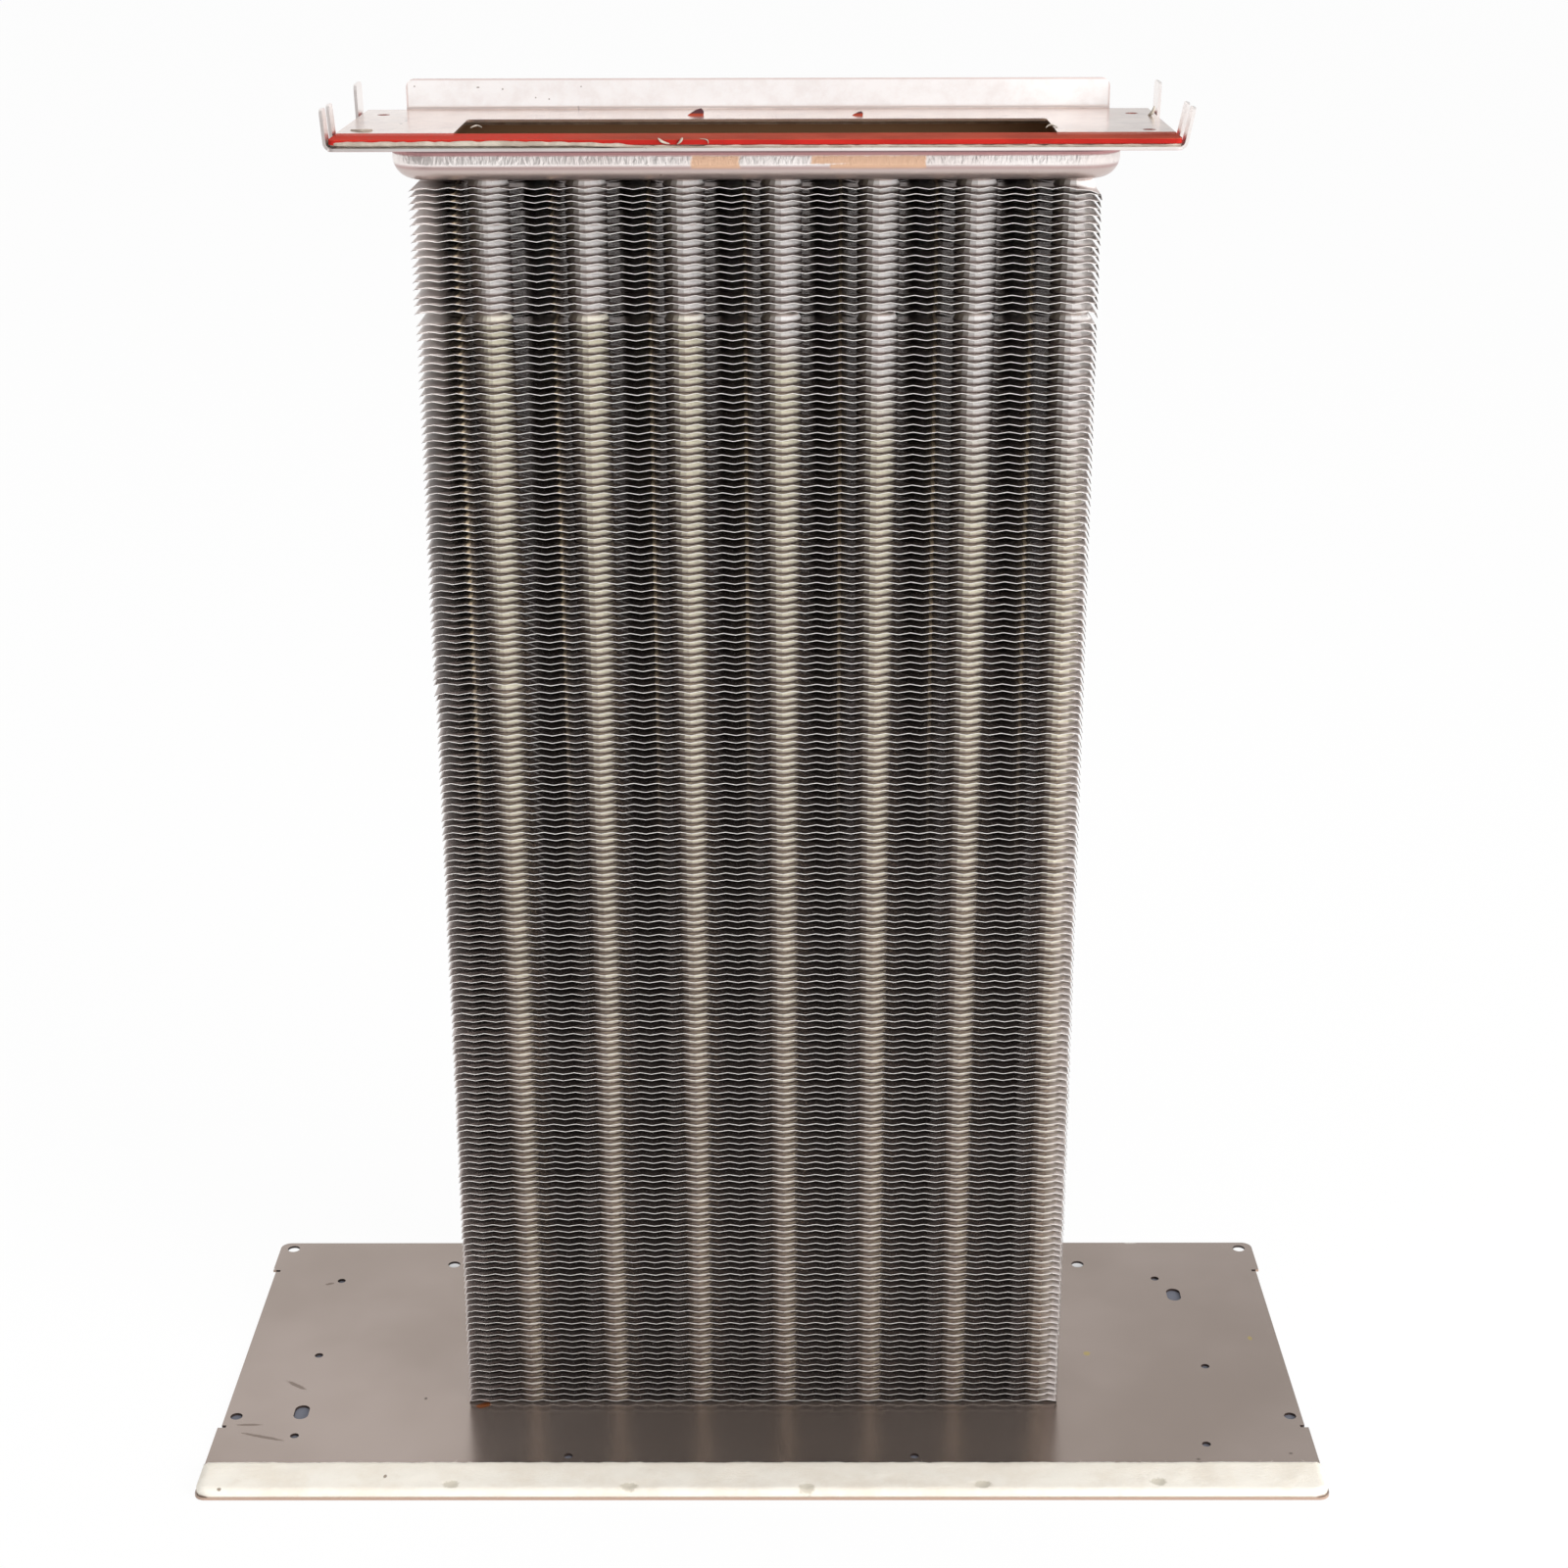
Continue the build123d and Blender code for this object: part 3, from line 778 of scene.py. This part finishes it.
def finRecipe(sheet, start, pitch, above, seed):
    low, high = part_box("fin_stack_1")
    width = high.x - low.x
    recipe = Recipe("stackedFins", {
        "Sheet": sheet,
        "Count": finStack["count"],
        "Fins Above": above,
        "Pitch": pitch,
        "First Height": start,
        "Uneven Rise": finStack["unevenRise"],
        "Uneven Shift": finStack["unevenShift"],
        "Uneven Tilt": math.radians(finStack["unevenTilt"]),
        "Buckle": finStack["buckle"],
        "Tip Buckle": finStack["tipBuckle"],
        "Seed": seed,
        "Material": finishes["fin_metal"],
    })
    line = recipe.node("GeometryNodeMeshLine", {"mode": "OFFSET"}, {
        "Count": recipe.given("Count"),
        "Start Location": recipe.vector(Z=recipe.given("First Height")),
        "Offset": recipe.vector(Z=recipe.given("Pitch"))})
    fromTop = recipe.given("Fins Above") + recipe.given("Count") - 1 - recipe.node("GeometryNodeInputIndex")
    line = recipe.node("GeometryNodeStoreNamedAttribute", {"data_type": "FLOAT", "domain": "POINT"}, {
        "Geometry": line, "Name": "number", "Value": fromTop})
    fins = recipe.node("GeometryNodeInstanceOnPoints", sockets={
        "Points": line, "Instance": recipe.shapeOf("Sheet")})
    aside = recipe.given("Uneven Shift")
    most = recipe.vector(X=aside, Y=aside, Z=recipe.given("Uneven Rise"))
    anySide = recipe.anyVector((-1, -1, -1), (1, 1, 1), recipe.given("Seed"))
    shift = recipe.vectorMaths("MULTIPLY", anySide, most)
    fins = recipe.node("GeometryNodeTranslateInstances", sockets={"Instances": fins, "Translation": shift})
    tilt = recipe.anyVector((-0.2, -1, 0), (0.2, 1, 0), recipe.given("Seed") + 1)
    turn = recipe.scaled(tilt, recipe.given("Uneven Tilt"))
    fins = recipe.node("GeometryNodeRotateInstances", sockets={"Instances": fins, "Rotation": turn})
    real = recipe.node("GeometryNodeRealizeInstances", sockets={"Geometry": fins})
    position = recipe.node("GeometryNodeInputPosition")
    x = recipe.split(position)
    stretched = recipe.vectorMaths("MULTIPLY", position, finStack["buckleScale"])
    wobble = recipe.wobble(stretched, 1.0, 1.0)
    nearTip, atTip = finStack["tipReach"]
    tip = recipe.fade(abs(x - (low.x + high.x) / 2), width * nearTip, width * atTip)
    rise = wobble * (recipe.given("Buckle") * 2 + recipe.given("Tip Buckle") * 2 * tip)
    onCollar = recipe.attribute("collar")
    number = recipe.attribute("number")

    def upTo(last):  # 1 for the fins down to this one
        return number < last + 0.5

    def only(one):
        return recipe.maths("COMPARE", number, float(one), 0.1)

    leftEnd = recipe.fade(x, low.x + finDamage["endReach"], low.x)
    rightEnd = recipe.fade(x, high.x - finDamage["endReach"], high.x)
    pairs = recipe.maths("PINGPONG", number, 1.0) - 0.5
    rise = rise + pairs * finDamage["pinch"] * leftEnd * leftEnd
    ragged = upTo(finDamage["droopFins"]) * (0.5 + wobble * 2)
    rise = rise - ragged * finDamage["droop"] * leftEnd * leftEnd
    bentFrom, bentTo = finDamage["bentReach"]
    bent = recipe.fade(x, low.x + bentFrom, low.x + bentTo)
    rise = rise - only(finDamage["bentFin"]) * bent * finDamage["bentBy"]
    rise = rise + only(finDamage["bentFin"] - 1) * bent * finDamage["bentBy"] * finDamage["bentAbove"]
    topCorner = recipe.fade(x, high.x - finDamage["cornerReach"], high.x)
    rise = rise - only(0) * topCorner * finDamage["cornerDrop"]
    rise = rise * (1 - onCollar)
    opened = recipe.maths("MINIMUM", number / float(finDamage["tightGaps"]), 1.0)
    rise = rise + opened * upTo(finDamage["gapUnder"]) * finDamage["gapBy"]
    aside = rightEnd * upTo(finDamage["stepUnder"]) * finDamage["stepShift"] * 0.5
    aside = aside - leftEnd * upTo(finDamage["gapUnder"]) * finDamage["gapShift"]
    aside = aside - leftEnd * upTo(finDamage["bentFin"]) * finDamage["stepShift"]
    recipe.finish(recipe.moved(real, recipe.vector(X=aside * (1 - onCollar), Z=rise)))
    return recipe


def finStackPiece(number, sheet):
    low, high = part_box("fin_stack_" + str(number))
    above = finStack["count"] * (finStack["stacks"] - number)
    pitch = (high.z - low.z - finSheet["thickness"]) / (finStack["count"] - 1)
    start = low.z + finSheet["thickness"] / 2
    recipe = finRecipe(sheet, start, pitch, above, finStack["seed"] + 10 * number)
    piece = recipe.grow(newThing("finStack" + str(number), material=finishes["fin_metal"]))
    piece.data.attributes.remove(piece.data.attributes["number"])  # the paint reads only "collar"
    return piece


sheet = finMesh()
finPieces = [finStackPiece(number, sheet) for number in range(1, finStack["stacks"] + 1)]
remove(sheet)
for number, piece in enumerate(finPieces, 1):
    place(piece, "fin_metal", "fin_stack_" + str(number))
print("fins stacked:", sum(len(piece.data.polygons) for piece in finPieces), "faces")


tubeShape = {
    "outside": 5.55 * mm,
    "bore": 5.05 * mm,
    "mouth": 1.4 * mm,  # height of the rolled mouth
    "roll": 0.35 * mm,  # height of its rounded edges
    "lip": 0.35 * mm,  # how far it spreads over the pan's floor
    "sides": 48,
}


def tubeMesh():
    low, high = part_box(frontNames[0])
    outside, bore, lip, roll = (tubeShape[name] for name in ("outside", "bore", "lip", "roll"))
    floor = high.z - tubeShape["mouth"]
    profile = [
        (outside, low.z), (outside, floor), (outside + lip * 0.6, floor + roll),
        (outside + lip, high.z - roll), (outside + lip * 0.7, high.z), (bore + lip * 0.9, high.z),
        (bore + lip * 0.6, high.z - roll), (bore, floor), (bore, low.z),
    ]
    points = []
    for side in range(tubeShape["sides"]):
        turn = 2 * math.pi * side / tubeShape["sides"]
        points += [(radius * math.cos(turn), radius * math.sin(turn), height) for radius, height in profile]
    return newThing("tubeShape", points, ringFaces(tubeShape["sides"], len(profile)), smooth=True)


def tubeRow(name, nodes, places, source):
    recipe = Recipe(name, {
        "Tube": source,
        "Count": len(places),
        "First": (places[0].x, places[0].y, 0),
        "Pitch": (tubePitch, 0, 0),
        "Material": finishes["tube_steel"],
    })
    line = recipe.node("GeometryNodeMeshLine", {"mode": "OFFSET"}, {
        "Count": recipe.given("Count"),
        "Start Location": recipe.given("First"), "Offset": recipe.given("Pitch")})
    recipe.finish(recipe.node("GeometryNodeInstanceOnPoints", sockets={
        "Points": line, "Instance": recipe.shapeOf("Tube")}))
    return place(recipe.grow(newThing(name)), "tube_steel", *nodes)


source = tubeMesh()
tubeRow("frontTubes", frontNames, frontTubes, source)
tubeRow("rearTubes", rearNames, rearTubes, source)
remove(source)
print("tubes set:", len(frontTubes) + len(rearTubes))


def feltStrip():
    low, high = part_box("panel_gasket")
    columns, rows = felt["columns"], felt["rows"]
    points = []
    faces = []
    top = {}
    foot = {}

    def outlineX(side, y):  # the strip's front corners are cut round
        inward = low.y + felt["corner"] - y
        cut = felt["corner"] - math.sqrt(max(0, felt["corner"] ** 2 - max(0, inward) ** 2))
        return (low.x + cut) if side < 0 else (high.x - cut)

    def waves(x, y, z):
        return noise.noise(Vector((x, y, z)))

    for row in range(rows + 1):
        share = row / rows
        y = low.y + (high.y - low.y) * share
        atBack = max(0, (share - felt["frayFrom"]) / (1 - felt["frayFrom"]))
        left, right = outlineX(-1, y), outlineX(1, y)
        for column in range(columns + 1):
            x = left + (right - left) * column / columns
            fray = waves(x * 90, 3.1, 0) + 0.6 * waves(x * 420, 9.7, 0)
            edge = min(y - low.y, high.y - y, x - left + 1e-6, right - x + 1e-6)
            soft = min(1, max(0, edge) / felt["edgeSoft"])
            crown = math.sqrt(1 - (1 - soft) ** 2)
            z = low.z + (high.z - low.z) * (felt["edgeHeight"] + (1 - felt["edgeHeight"]) * crown)
            z -= felt["lump"] * abs(waves(x * 75, y * 110, 1.7))
            z -= felt["lump"] * 0.5 * abs(waves(x * 400, y * 500, 5.2))
            for dimpleX, dimpleY in felt["dimples"]:
                away = math.hypot(x - dimpleX * mm, y - dimpleY * mm) / felt["dimpleWidth"]
                if away < 2:
                    z -= felt["dimpleDepth"] * math.exp(-away * away * 2)
            points.append((x, y - abs(fray) * felt["fray"] * atBack, z))
            top[column, row] = len(points) - 1
    for column, row in list(top):
        x, y, z = points[top[column, row]]
        points.append((x, y, low.z))
        foot[column, row] = len(points) - 1
    for row in range(rows):
        for column in range(columns):
            a, b = (column, row), (column + 1, row)
            c, d = (column + 1, row + 1), (column, row + 1)
            faces.append((top[a], top[b], top[c], top[d]))
            faces.append((foot[d], foot[c], foot[b], foot[a]))
    rim = [(column, 0) for column in range(columns)] + [(columns, row) for row in range(rows)]
    rim += [(column, rows) for column in range(columns, 0, -1)] + [(0, row) for row in range(rows, 0, -1)]
    for here, there in zip(rim, rim[1:] + rim[:1]):
        faces.append((foot[here], foot[there], top[there], top[here]))
    return newThing("feltStrip", points, faces, smooth=True, material=finishes["white_felt"])


fuzz = {
    "fibres": 1500,
    "area": 0.406 * 0.026,  # square metres that they spread over
    "length": (0.6 * mm, 1.9 * mm),
    "bend": [(0, 0), (0.35, 0.12), (0.7, 0.05), (1, -0.1)],  # of a hair one long: along, lift
    "radius": 0.02,
    "taper": 0.6,
    "seed": 3,
}


def feltFibre():  # one short bent hair, three-sided
    steps = fuzz["bend"]
    points = []
    faces = []
    for number, (along, lift) in enumerate(steps):
        radius = fuzz["radius"] * (1 - fuzz["taper"] * number / (len(steps) - 1))
        for side in range(3):
            turn = 2 * math.pi * side / 3
            points.append((along, radius * math.cos(turn), lift + radius * math.sin(turn)))
    for number in range(len(steps) - 1):
        for side in range(3):
            after = (side + 1) % 3
            a, b = number * 3 + side, number * 3 + after
            faces.append((a, b, b + 3, a + 3))
    faces.append((2, 1, 0))
    end = 3 * (len(steps) - 1)
    faces.append((end, end + 1, end + 2))
    return newThing("feltFibre", points, faces)


def growFuzz(strip):
    hair = feltFibre()
    recipe = Recipe("feltFuzz", {
        "Strip": strip,
        "Hair": hair,
        "Density": fuzz["fibres"] / fuzz["area"],
        "Seed": fuzz["seed"],
        "Material": finishes["white_felt"],
    })
    facing = recipe.split(recipe.node("GeometryNodeInputNormal"))
    spread = recipe.node("GeometryNodeDistributePointsOnFaces", sockets={
        "Mesh": recipe.shapeOf("Strip"), "Selection": facing.other("Z") > -0.5,
        "Density": recipe.given("Density"), "Seed": recipe.given("Seed")})
    turn = recipe.anyVector((-0.25, -0.35, 0), (0.25, 0.1, 6.28), recipe.given("Seed") + 2)
    least, most = fuzz["length"]
    size = recipe.node("FunctionNodeRandomValue", {"data_type": "FLOAT"}, {
        2: least, 3: most, "Seed": recipe.given("Seed") + 3}, output=1)
    recipe.finish(recipe.node("GeometryNodeInstanceOnPoints", sockets={
        "Points": spread, "Instance": recipe.shapeOf("Hair"), "Rotation": turn, "Scale": size}))
    piece = recipe.grow(newThing("feltFibres"))
    remove(hair)
    return piece


strip = feltStrip()
fibres = growFuzz(strip)
place(strip, "white_felt", "panel_gasket")
place(fibres, "white_felt", "panel_gasket")
print("felt laid:", len(fibres.data.polygons), "fibre faces")


def roundedOutline(left, right, front, back, radius, steps):  # points with the way outwards, anticlockwise
    outline = []
    for x, y, start in ((right - radius, front + radius, -90), (right - radius, back - radius, 0),
                        (left + radius, back - radius, 90), (left + radius, front + radius, 180)):
        for step in range(steps + 1):
            turn = math.radians(start + 90 * step / steps)
            outwards = Vector((math.cos(turn), math.sin(turn), 0))
            outline.append((Vector((x, y, 0)) + outwards * radius, outwards))
    return outline


def shoulder():  # the hollow curve between the pan's wall and its flange
    pan = trayShoulder
    radius, top, sunk = pan["radius"], pan["underFlange"], pan["sunk"]
    profile = [(-sunk, top + sunk), (-sunk, top - radius)]
    for step in range(pan["steps"] + 1):
        turn = math.radians(90 * step / pan["steps"])
        out = radius - radius * math.cos(turn) + pan["proud"]
        profile.append((out, top - radius + radius * math.sin(turn)))
    profile.append((radius, top + sunk))
    points = []
    outline = roundedOutline(pan["left"], pan["right"], pan["front"], pan["back"],
                             pan["corner"], pan["cornerSteps"])
    for spot, outwards in outline:
        points += [spot + outwards * out + Vector((0, 0, height)) for out, height in profile]
    faces = [face[::-1] for face in ringFaces(len(outline), len(profile))]
    return newThing("trayShoulder", points, faces, smooth=True, material=finishes["tray_steel"])


place(shoulder(), "tray_steel")
print("shoulder drawn")


bead = {
    "thickness": 0.6 * mm,
    "out": 1.1 * mm,  # how far the bead's line lies outside the sealant's edge
    "wander": 0.55 * mm,
    "lumps": 0.5,
    "waves": (60.0, 300.0),  # how close its slow and quick waves are
    "fullLeft": 0.35,  # the bead is this much thicker at the front left
    "liftLeft": 1.1 * mm,  # and stands this much higher there
    "leftReach": (-30 * mm, -60 * mm),
    "frontReach": (-30 * mm, -45 * mm),
    "sag": 0.25 * mm,
    "step": 1.2 * mm,
    "sides": 8,
}


def beadLine():
    low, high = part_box("header_sealant")
    out = bead["out"]
    outline = roundedOutline(low.x - out, high.x + out, low.y - out, high.y + out, 2 * mm + out, 4)
    points = [spot + Vector((0, 0, (low.z + high.z) / 2)) for spot, outwards in outline]
    mesh = bpy.data.meshes.new("beadLine")
    mesh.from_pydata(points, [(here, (here + 1) % len(points)) for here in range(len(points))], [])
    return addThing("beadLine", mesh)


def sealantBead():
    line = beadLine()
    recipe = Recipe("squeezedBead", {
        "Line": line,
        "Thickness": bead["thickness"],
        "Wander": bead["wander"],
        "Lumps": bead["lumps"],
        "Full Left": bead["fullLeft"],
        "Lift Left": bead["liftLeft"],
        "Sag": bead["sag"],
        "Step": bead["step"],
        "Material": finishes["beige_sealant"],
    })
    curve = recipe.node("GeometryNodeMeshToCurve", sockets={"Mesh": recipe.shapeOf("Line")})
    curve = recipe.node("GeometryNodeResampleCurve", {"mode": "LENGTH"},
                        {"Curve": curve, "Length": recipe.given("Step")})
    position = recipe.node("GeometryNodeInputPosition")
    x = recipe.split(position)
    slow = recipe.wobble(position, bead["waves"][0], 2.0)
    quick = recipe.wobble(position, bead["waves"][1], 1.0)
    frontLeft = recipe.fade(x, *bead["leftReach"]) * recipe.fade(x.other("Y"), *bead["frontReach"])
    across = recipe.vectorMaths("CROSS_PRODUCT", recipe.node("GeometryNodeInputTangent"), (0, 0, 1))
    curve = recipe.moved(curve, recipe.scaled(across, (slow + quick * 0.4) * recipe.given("Wander")))
    curve = recipe.moved(curve, recipe.vector(
        Z=quick * recipe.given("Wander") + frontLeft * recipe.given("Lift Left") - recipe.given("Sag")))
    ring = recipe.node("GeometryNodeCurvePrimitiveCircle", sockets={
        "Resolution": bead["sides"], "Radius": recipe.given("Thickness")})
    full = 1 + (quick * 1.6 + slow) * recipe.given("Lumps") + frontLeft * recipe.given("Full Left")
    recipe.finish(recipe.node("GeometryNodeCurveToMesh", sockets={
        "Curve": curve, "Profile Curve": ring, "Scale": full}))
    piece = recipe.grow(newThing("sealantBead"))
    piece.data.polygons.foreach_set("use_smooth", [True] * len(piece.data.polygons))
    remove(line)
    return piece


def strand(name, points, radius, slot):  # a thin drawn-out string, mm, tapered to both ends
    data = bpy.data.curves.new(name, "CURVE")
    data.dimensions = "3D"
    data.bevel_depth = radius * mm
    data.bevel_resolution = 1
    data.resolution_u = 5
    data.use_fill_caps = True
    spline = data.splines.new("NURBS")
    spline.points.add(len(points) - 1)
    for number, (x, y, z) in enumerate(points):
        spline.points[number].co = (x * mm, y * mm, z * mm, 1)
        spline.points[number].radius = 0.35 if number in (0, len(points) - 1) else 1
    spline.order_u = 3
    spline.use_endpoint_u = True
    curve = addThing(name + "Curve", data)
    mesh = plainMesh(curve)
    bpy.data.objects.remove(curve)
    bpy.data.curves.remove(data)
    mesh.name = name
    mesh.materials.clear()
    mesh.materials.append(finishes[slot])
    return place(addThing(name, mesh), slot)


sealantStrings = {  # mm: the radius, then the points of the line
    "curlLeft": (0.42, (-30.2, -52.6, 472.0), (-29.6, -53.0, 471.4),
                 (-28.4, -53.1, 470.7), (-26.6, -52.9, 470.3)),
    "curlMiddle": (0.45, (-24.2, -52.8, 470.2), (-23.2, -53.1, 470.9),
                   (-22.7, -52.8, 471.9), (-22.5, -52.4, 472.0)),
    "curlRight": (0.2, (-17.2, -52.3, 471.8), (-15.4, -52.8, 471.8),
                  (-14.4, -53.0, 471.1), (-14.6, -52.8, 470.3)),
    "stringLeft": (0.32, (-91.5, -27.5, 472.5), (-90.8, -25.0, 472.8),
                   (-89.2, -24.0, 472.9), (-87.9, -26.5, 472.5)),
    "stringRight": (0.3, (92.6, -30.5, 472.5), (93.6, -27.0, 472.9),
                    (95.2, -25.5, 472.9), (96.4, -29.5, 472.5)),
    "smearLeft": (0.6, (-129.0, -32.8, 472.5), (-125.8, -36.6, 472.6),
                  (-122.6, -35.4, 472.6), (-122.2, -32.9, 472.5)),
    "smearRight": (0.6, (129.9, 7.2, 472.4), (130.2, 4.6, 472.7),
                   (131.2, 3.8, 474.2), (131.4, 4.2, 475.6)),
}


place(sealantBead(), "beige_sealant")
for name, (radius, *points) in sealantStrings.items():
    strand(name, points, radius, "beige_sealant")
print("sealant squeezed, with strings:", len(sealantStrings))


chips = {  # torn bits of gasket on the plate, mm: left, right, depth, height
    "chipMiddle": (-23.2, -17.9, 8.3, 2.3),
    "chipRight": (31.6, 35.1, 7.2, 1.3),
}
chipShape = {
    "outline": [(0, 0), (1, 0), (1.02, 0.55), (0.86, 1), (0.55, 0.8), (0.2, 0.32)],  # of width and height
    "plate": 0.79,  # mm, a little less than the plate's 0.8, so that they touch it
    "depth": 1.6,
    "narrower": 0.6,  # at the top
    "leaning": 0.5,
}


def gasketChip(name, left, right, y, height):  # a wedge that rises to the right
    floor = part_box("header_plate")[0].z / mm + chipShape["plate"]
    points = []
    for back in (0, 1):
        for along, up in chipShape["outline"]:
            x = left + (right - left) * along
            depth = back * (chipShape["depth"] - chipShape["narrower"] * up)
            points.append(Vector((x, y + depth + chipShape["leaning"] * up, floor + height * up)) * mm)
    count = len(chipShape["outline"])
    faces = [tuple(range(count)), tuple(range(2 * count - 1, count - 1, -1))]
    for here in range(count):
        there = (here + 1) % count
        faces.append((here, here + count, there + count, there))
    return newThing(name, points, faces, material=finishes["red_gasket"])


for name, (left, right, y, height) in chips.items():
    place(gasketChip(name, left, right, y, height), "red_gasket")
print("chips laid:", len(chips))


white = (1, 1, 1, 1)
black = (0, 0, 0, 1)
studio = {
    "floorSize": 24.0,
    "floor": (0.96, 0.96, 0.955, 1),
    "floorGlow": 0.93,  # how much of the floor's white the camera sees without shadow
    "underPanel": rgb(118, 120, 130),  # the paper in the panel's shade
    "underMargin": 2 * mm,  # that shade keeps this far inside the panel's side edges
    "underBack": (84 * mm, 66 * mm),  # and fades out near its rear edge
    "farReach": (-0.9, -2.4),  # where the mirrored floor gets as dim as the horizon
    "leftReach": (0.1, -0.4),  # and where it gets as dim as the left
    "leftFront": (-0.2, -0.6),
    "skyStrength": 0.9,
    "leftDim": 0.34,  # the room in front of the object, on its left and right
    "rightBright": 1.3,
    "lowDim": 0.9,  # and near the horizon there
    "backRight": 0.7,  # the backdrop's right side
    "key": {"place": (-1.0, -1.5, 2.3), "size": 1.6, "power": 16, "colour": (1.0, 0.98, 0.96)},
    "side": {"place": (1.9, -1.5, 0.8), "size": 1.4, "power": 54, "colour": (1.0, 0.98, 0.97)},
    "aim": (0, 0, 0.22),
}


def studioFloor():
    half = studio["floorSize"] / 2
    corners = [(-half, -half, 0), (half, -half, 0), (half, half, 0), (-half, half, 0)]
    floor = newThing("floor", corners, [(0, 1, 2, 3)])
    paint = Paint("floorPaper")
    paint.tree.nodes.remove(paint.shader)
    seen = paint.node("ShaderNodeLightPath", output="Is Camera Ray")
    mirrored = seen.other("Is Glossy Ray")
    direct = paint.larger(seen, paint.larger(mirrored, seen.other("Is Transmission Ray")))
    low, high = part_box("vestibule_panel")
    margin = studio["underMargin"]
    under = paint.between(paint.x, low.x + margin, high.x - margin, 1 * mm)
    under = under * paint.fade(paint.y, *studio["underBack"]) * paint.fade(paint.y, low.y, low.y + 1 * mm)
    far = paint.fade(paint.y, *studio["farReach"])
    left = paint.fade(paint.x, *studio["leftReach"]) * paint.fade(paint.y, *studio["leftFront"])
    room = (1 - (1 - studio["lowDim"]) * far) * (1 - (1 - studio["leftDim"]) * left)
    glow = paint.node("ShaderNodeEmission", sockets={
        "Color": paint.mix(mirrored, white, paint.mix(room, black, white)), "Strength": 1.0})
    matt = paint.node("ShaderNodeBsdfDiffuse", sockets={
        "Color": paint.mix(under, studio["floor"], studio["underPanel"])})
    both = paint.node("ShaderNodeMixShader", sockets={
        0: direct * studio["floorGlow"] * (1 - under), 1: matt, 2: glow})
    paint.fill(paint.tree.nodes["Material Output"], {"Surface": both})
    floor.data.materials.append(paint.material)


def studioSky():
    world = bpy.data.worlds.new("studioSky")
    world.use_nodes = True
    bpy.context.scene.world = world
    graph = Graph(world.node_tree)
    world.node_tree.nodes.clear()
    x = graph.split(graph.node("ShaderNodeTexCoord", output="Generated"))
    inFront = graph.fade(x.other("Y"), 0.25, -0.15)
    across = studio["leftDim"] + (studio["rightBright"] - studio["leftDim"]) * graph.fade(x, -0.3, 0.1)
    across = across * (studio["lowDim"] + (1 - studio["lowDim"]) * graph.fade(x.other("Z"), 0.02, 0.3))
    behind = 1 - (1 - studio["backRight"]) * graph.fade(x, -0.04, 0.2)
    glow = across * inFront + behind * (1 - inFront)
    soft = graph.node("ShaderNodeBackground", sockets={
        "Color": graph.mix(glow, black, white), "Strength": studio["skyStrength"]})
    plain = graph.node("ShaderNodeBackground", sockets={"Color": white, "Strength": 1.0})
    seen = graph.node("ShaderNodeLightPath", output="Is Camera Ray")
    both = graph.node("ShaderNodeMixShader", sockets={0: seen, 1: soft, 2: plain})
    graph.fill(graph.tree.nodes.new("ShaderNodeOutputWorld"), {"Surface": both})


def softLight(name, lamp):
    data = bpy.data.lights.new(name, "AREA")
    data.size = lamp["size"]
    data.energy = lamp["power"]
    data.color = lamp["colour"]
    light = addThing(name, data)
    light.location = lamp["place"]
    towards = Vector(studio["aim"]) - light.location
    light.rotation_euler = towards.to_track_quat("-Z", "Y").to_euler()
    light.visible_glossy = False  # the steel mirrors the room, not the lamps


photoCamera = {
    "place": (0.011918, -0.918692, 0.570266),
    "lens": 62.469,
    "sensor": 36,
    "nearest": 0.05,
    "down": 0.346128,  # angles in radians
    "aside": 0.003871,
    "roll": -0.002594,
}


def addCamera():
    data = bpy.data.cameras.new("photoCamera")
    data.sensor_width = photoCamera["sensor"]
    data.lens = photoCamera["lens"]
    data.clip_start = photoCamera["nearest"]
    camera = addThing("photoCamera", data)
    camera.location = photoCamera["place"]
    aim = Euler((math.pi / 2 - photoCamera["down"], 0, photoCamera["aside"])).to_quaternion()
    camera.rotation_mode = "QUATERNION"
    camera.rotation_quaternion = aim @ Quaternion((0, 0, 1), photoCamera["roll"])
    bpy.context.scene.camera = camera


studioFloor()
studioSky()
softLight("keyLight", studio["key"])
softLight("sideLight", studio["side"])
addCamera()
bpy.context.scene.view_settings.view_transform = "Standard"
print("studio lit")
